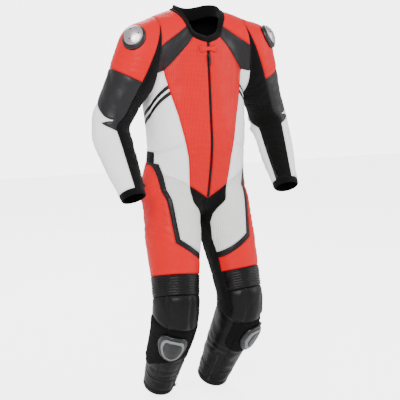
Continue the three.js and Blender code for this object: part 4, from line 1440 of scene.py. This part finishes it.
hook_loop, tree, shader, place, _ = node_material("hook_loop", (0.0030, 0.0028, 0.0030), 0.95, 0.2)
shader.inputs["Specular IOR Level"].default_value = 0.15
pile = tree.nodes.new("ShaderNodeTexVoronoi")
pile.inputs["Scale"].default_value = 900
tree.links.new(place, pile.inputs["Vector"])
bump(tree, shader, pile.outputs["Distance"], 0.0008, 0.9)

plastic, tree, shader, place, _ = node_material("black_plastic", srgb(11, 11, 12), 0.34, 0.1)
scuffed(tree, shader, place, 1400, 0.00015)

puck, tree, shader, place, _ = node_material("slider_plastic", srgb(118, 122, 126), 0.36, 0.16)
scuffed(tree, shader, place, 60, 0.0005, streak=14)


def on_limb(b, length, turn, side):
    """A point on the skin at a length down a bone and an angle round it, and the direction out from it."""
    angle = math.radians(turn)
    way = b[2] * math.cos(angle) + b[3] * math.sin(angle)
    start = (b[0] + b[1] * length + way * 180) / 1000
    start, way = start * [side, 1, 1], way * [side, 1, 1]
    hit, facing = on_skin(start, -way)
    return hit, facing, Vector(b[1] * [side, 1, 1])


def draped_plate(name, outline, thick, materials, origin, out, up, lift, **shape):
    """A plate laid over the skin at the origin: it takes the skin's curve."""
    obj = plate(name, outline, thick, materials, **shape)
    heights = [v.co.z for v in obj.data.vertices]
    for v in obj.data.vertices:
        v.co.z = 0
    seat(obj, origin, out, up)
    way = Vector(out).normalized()
    for v, height in zip(obj.data.vertices, heights):
        hit, _ = on_skin(v.co + way * 0.08, -way)
        base = hit if hit is not None and (hit - v.co).length < 0.045 else v.co
        v.co = base + way * (height + lift)
    obj.data.update()
    return obj


def layer_on(outline, layer, origin, out, up):
    """A layer is: share of the outline, shift up, thickness, material, lift, dome, rim and rings."""
    share, rise, thick, material, lift, dome, rim, rings = layer
    scaled = [q * share + [0, rise] for q in np.array(outline)]
    return draped_plate(
        "layer", scaled, thick, [material], origin, out, up, lift, dome=dome, rim=rim, rings=rings
    )


shield = rounded(
    [
        (-0.044, 0.056), (0, 0.062), (0.044, 0.056), (0.053, 0.010), (0.036, -0.042), (0, -0.062),
        (-0.036, -0.042), (-0.053, 0.010),
    ],
    0.018,
    6,
)
outward = middle.copy()
outward[:, 0] = np.abs(outward[:, 0])
on_patch = ~is_sleeve(outward) & (middle[:, 2] < -940) & (knee_patch(outward) < 0)
for side, end in ((1, "_left"), (-1, "_right")):
    members = np.nonzero(on_patch & (middle[:, 0] * side > 0))[0]
    patch_piece = skin_slab("knee_patch" + end, members, 0.3, 2.3, [hook_loop])
    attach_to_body(patch_piece, "lower_leg" + end)
    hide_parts("knee_slider_patch" + end)
    hit, facing, axis = on_limb(shin, 98, 64, side)
    out = Vector(np.array([0.4116, -0.7767, -0.4768]) * [side, 1, 1])
    layers = (
        (1, 0, 0.013, plastic, 0.0026, 0, 0.003, 8),
        (0.80, 0, 0.0065, puck, 0.0150, 0.003, 0.002, 8),
        (0.66, 0.001, 0.0022, plastic, 0.0222, 0.001, 0.0012, 6),
    )
    parts = [layer_on(shield, layer, hit, out, -axis) for layer in layers]
    knee_puck = join("knee_puck" + end, parts)
    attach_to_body(knee_puck, "slider" + end)
    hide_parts("knee_slider" + end)

# ---- Shoulder sliders ----------------------------------------------------------------------------
# A teardrop plate of brushed steel, held in a black plastic bezel that is screwed through the shoulder cup.

steel, tree, shader, place, _ = node_material("brushed_steel", srgb(186, 176, 180), 0.34, 0.08)
shader.inputs["Metallic"].default_value = 1.0
scuffed(tree, shader, place, 120, 0.00025, 0.6, streak=22)

egg = []
for turn_here in np.linspace(0, 2 * np.pi, 56, endpoint=False):
    reach = 0.0425 * (1 - 0.10 * math.sin(turn_here) - 0.05 * math.cos(2 * turn_here))
    egg.append((reach * math.cos(turn_here), reach * math.sin(turn_here)))
for side, end in ((1, "_left"), (-1, "_right")):
    out = Vector(unit([0.66 * side, -0.58, 0.47]))
    centre_at = shoulder * [side, 1, 1] / 1000
    hit, facing = on_skin(Vector(centre_at) + out * 0.2, -out)
    axis = Vector(upper_arm[1] * [side, 1, 1])
    layers = (
        (1, 0, 0.0095, plastic, 0.0004, 0, 0.0030, 6),
        (0.90, 0, 0.0022, plastic, 0.0098, 0, 0.0015, 5),
        (0.80, 0.002, 0.0024, steel, 0.0122, 0.003, 0.0012, 8),
    )
    base, collar_ring, sheet_steel = [layer_on(egg, layer, hit, out, -axis) for layer in layers]
    bezel = join("shoulder_bezel" + end, [base, collar_ring])
    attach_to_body(bezel, "upper_sleeve" + end)
    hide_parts("shoulder_slider_base" + end)
    screws = [sheet_steel]
    for x, y in ((0.017, 0.012), (-0.017, 0.012), (0, -0.020)):
        head = [
            (x + 0.0026 * math.cos(t), y + 0.0026 * math.sin(t))
            for t in np.linspace(0, 2 * np.pi, 18, endpoint=False)
        ]
        screws.append(
            draped_plate(
                "screw", head, 0.0012, [metal], hit, out, -axis, 0.0162, dome=0.0004, rim=0.0004,
                rings=3,
            )
        )
    shoulder_plate = join("shoulder_plate" + end, screws)
    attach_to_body(shoulder_plate, "upper_sleeve" + end)
    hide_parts("shoulder_slider_plate" + end)

# ---- Cuff and calf zips --------------------------------------------------------------------------
# Short zips open each sleeve at the wrist and each leg at the calf. Each has its teeth laid on the leather and
# a small slider with a pull, which starts at the closed end.

for side, end in ((1, "_left"), (-1, "_right")):
    # name, bone, angle round it, the teeth's top and foot and the slider's place as shares of the bone, body
    for name, b, turn, low, high, rest, body_under in (
        ("cuff_zip", forearm, 157.5, 0.44, 0.895, 0.88, "lower_sleeve"),
        ("calf_zip", shin, 135, 0.56, 0.955, 0.93, "lower_leg"),
    ):
        path, ups, across = [], [], []
        for share in np.linspace(low, high, 40):
            hit, facing, axis = on_limb(b, share * b[4], turn, side)
            path.append(np.array(hit) + np.array(facing) * 0.0004)
            ups.append(np.array(facing))
            across.append(unit(np.cross(np.array(facing), np.array(axis))))
        row = teeth(name + "_teeth" + end, path, ups, across, 0.0012)
        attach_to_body(row, body_under + end)
        hit, facing, axis = on_limb(b, rest * b[4], turn, side)
        small = zip_slider("small", (0.009, 0.0056, 0.014))
        tongue = plate(
            "tongue",
            rounded([(-0.0018, 0.0), (0.0018, 0.0), (0.0030, 0.020), (0, 0.023), (-0.0030, 0.020)], 0.001),
            0.0014,
            [metal],
            0.0002,
        )
        tongue.data.transform(Matrix.Translation((0, -0.002, 0.0060)))
        runner = join(name + "_runner" + end, [small, tongue])
        seat(runner, hit + facing * 0.0002, facing, -axis)
        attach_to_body(runner, name + "_pull" + end)
        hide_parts(name + "_slider" + end)

# ---- Studio --------------------------------------------------------------------------------------
# A plain pale floor, large soft lights and the camera. The floor and the world are brighter where the camera
# sees them directly, so that the backdrop is pale without adding light to the suit.

floor_z = cad_low[2] - 0.004
floor = new_object(
    "floor",
    [(-6, -6, floor_z), (6, -6, floor_z), (6, 6, floor_z), (-6, 6, floor_z)],
    [[0, 1, 2, 3]],
    [],
)
pale = bpy.data.materials.new("pale_floor")
pale.use_nodes = True
pale_shader = pale.node_tree.nodes["Principled BSDF"]
pale_shader.inputs["Base Color"].default_value = (0.86, 0.86, 0.86, 1)
pale_shader.inputs["Roughness"].default_value = 0.7
pale_shader.inputs["Emission Color"].default_value = (1, 1, 1, 1)
seen = pale.node_tree.nodes.new("ShaderNodeLightPath").outputs["Is Camera Ray"]
pale.node_tree.links.new(
    math_node(pale.node_tree, "MULTIPLY", seen, 3.4),
    pale_shader.inputs["Emission Strength"],
)
floor.data.materials.append(pale)
world = bpy.data.worlds.new("studio")
bpy.context.scene.world = world
world.use_nodes = True
world.node_tree.nodes["Background"].inputs["Color"].default_value = (1, 1, 1, 1)
seen = world.node_tree.nodes.new("ShaderNodeLightPath").outputs["Is Camera Ray"]
glow = math_node(world.node_tree, "MULTIPLY_ADD", seen, 4.0)
glow.node.inputs[2].default_value = 1.05
world.node_tree.links.new(glow, world.node_tree.nodes["Background"].inputs["Strength"])
lights = []
for name, place, power, size in (
    ("key", (-2.2, -2.6, 1.6), 150, 1.4),
    ("fill", (2.6, -1.6, 0.4), 50, 1.8),
    ("back", (0.6, 2.6, 1.4), 80, 2.0),
):
    lamp = bpy.data.lights.new(name, "AREA")
    lamp.energy = power
    lamp.size = size
    light = bpy.data.objects.new(name, lamp)
    light.location = place
    light.rotation_euler = (Vector((0, 0, -0.6)) - Vector(place)).to_track_quat("-Z", "Y").to_euler()
    bpy.context.scene.collection.objects.link(light)
    lights.append(light)
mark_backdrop(floor, *lights)

azimuth, elevation, distance = math.radians(-28.83), math.radians(8.6), 4.235
aim = Vector((0, 0, -0.627))
back = Vector(
    (math.sin(azimuth) * math.cos(elevation), -math.cos(azimuth) * math.cos(elevation), math.sin(elevation))
)
lens = bpy.data.cameras.new("camera")
lens.sensor_width = 36
lens.lens = 107
lens.shift_x = 0.0075
camera = bpy.data.objects.new("camera", lens)
camera.location = aim + back * distance
camera.rotation_euler = (-back).to_track_quat("-Z", "Y").to_euler()
bpy.context.scene.collection.objects.link(camera)
bpy.context.scene.camera = camera

low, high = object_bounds()
{"cad": [list(cad_low), list(cad_high)], "visual": [list(low), list(high)]}
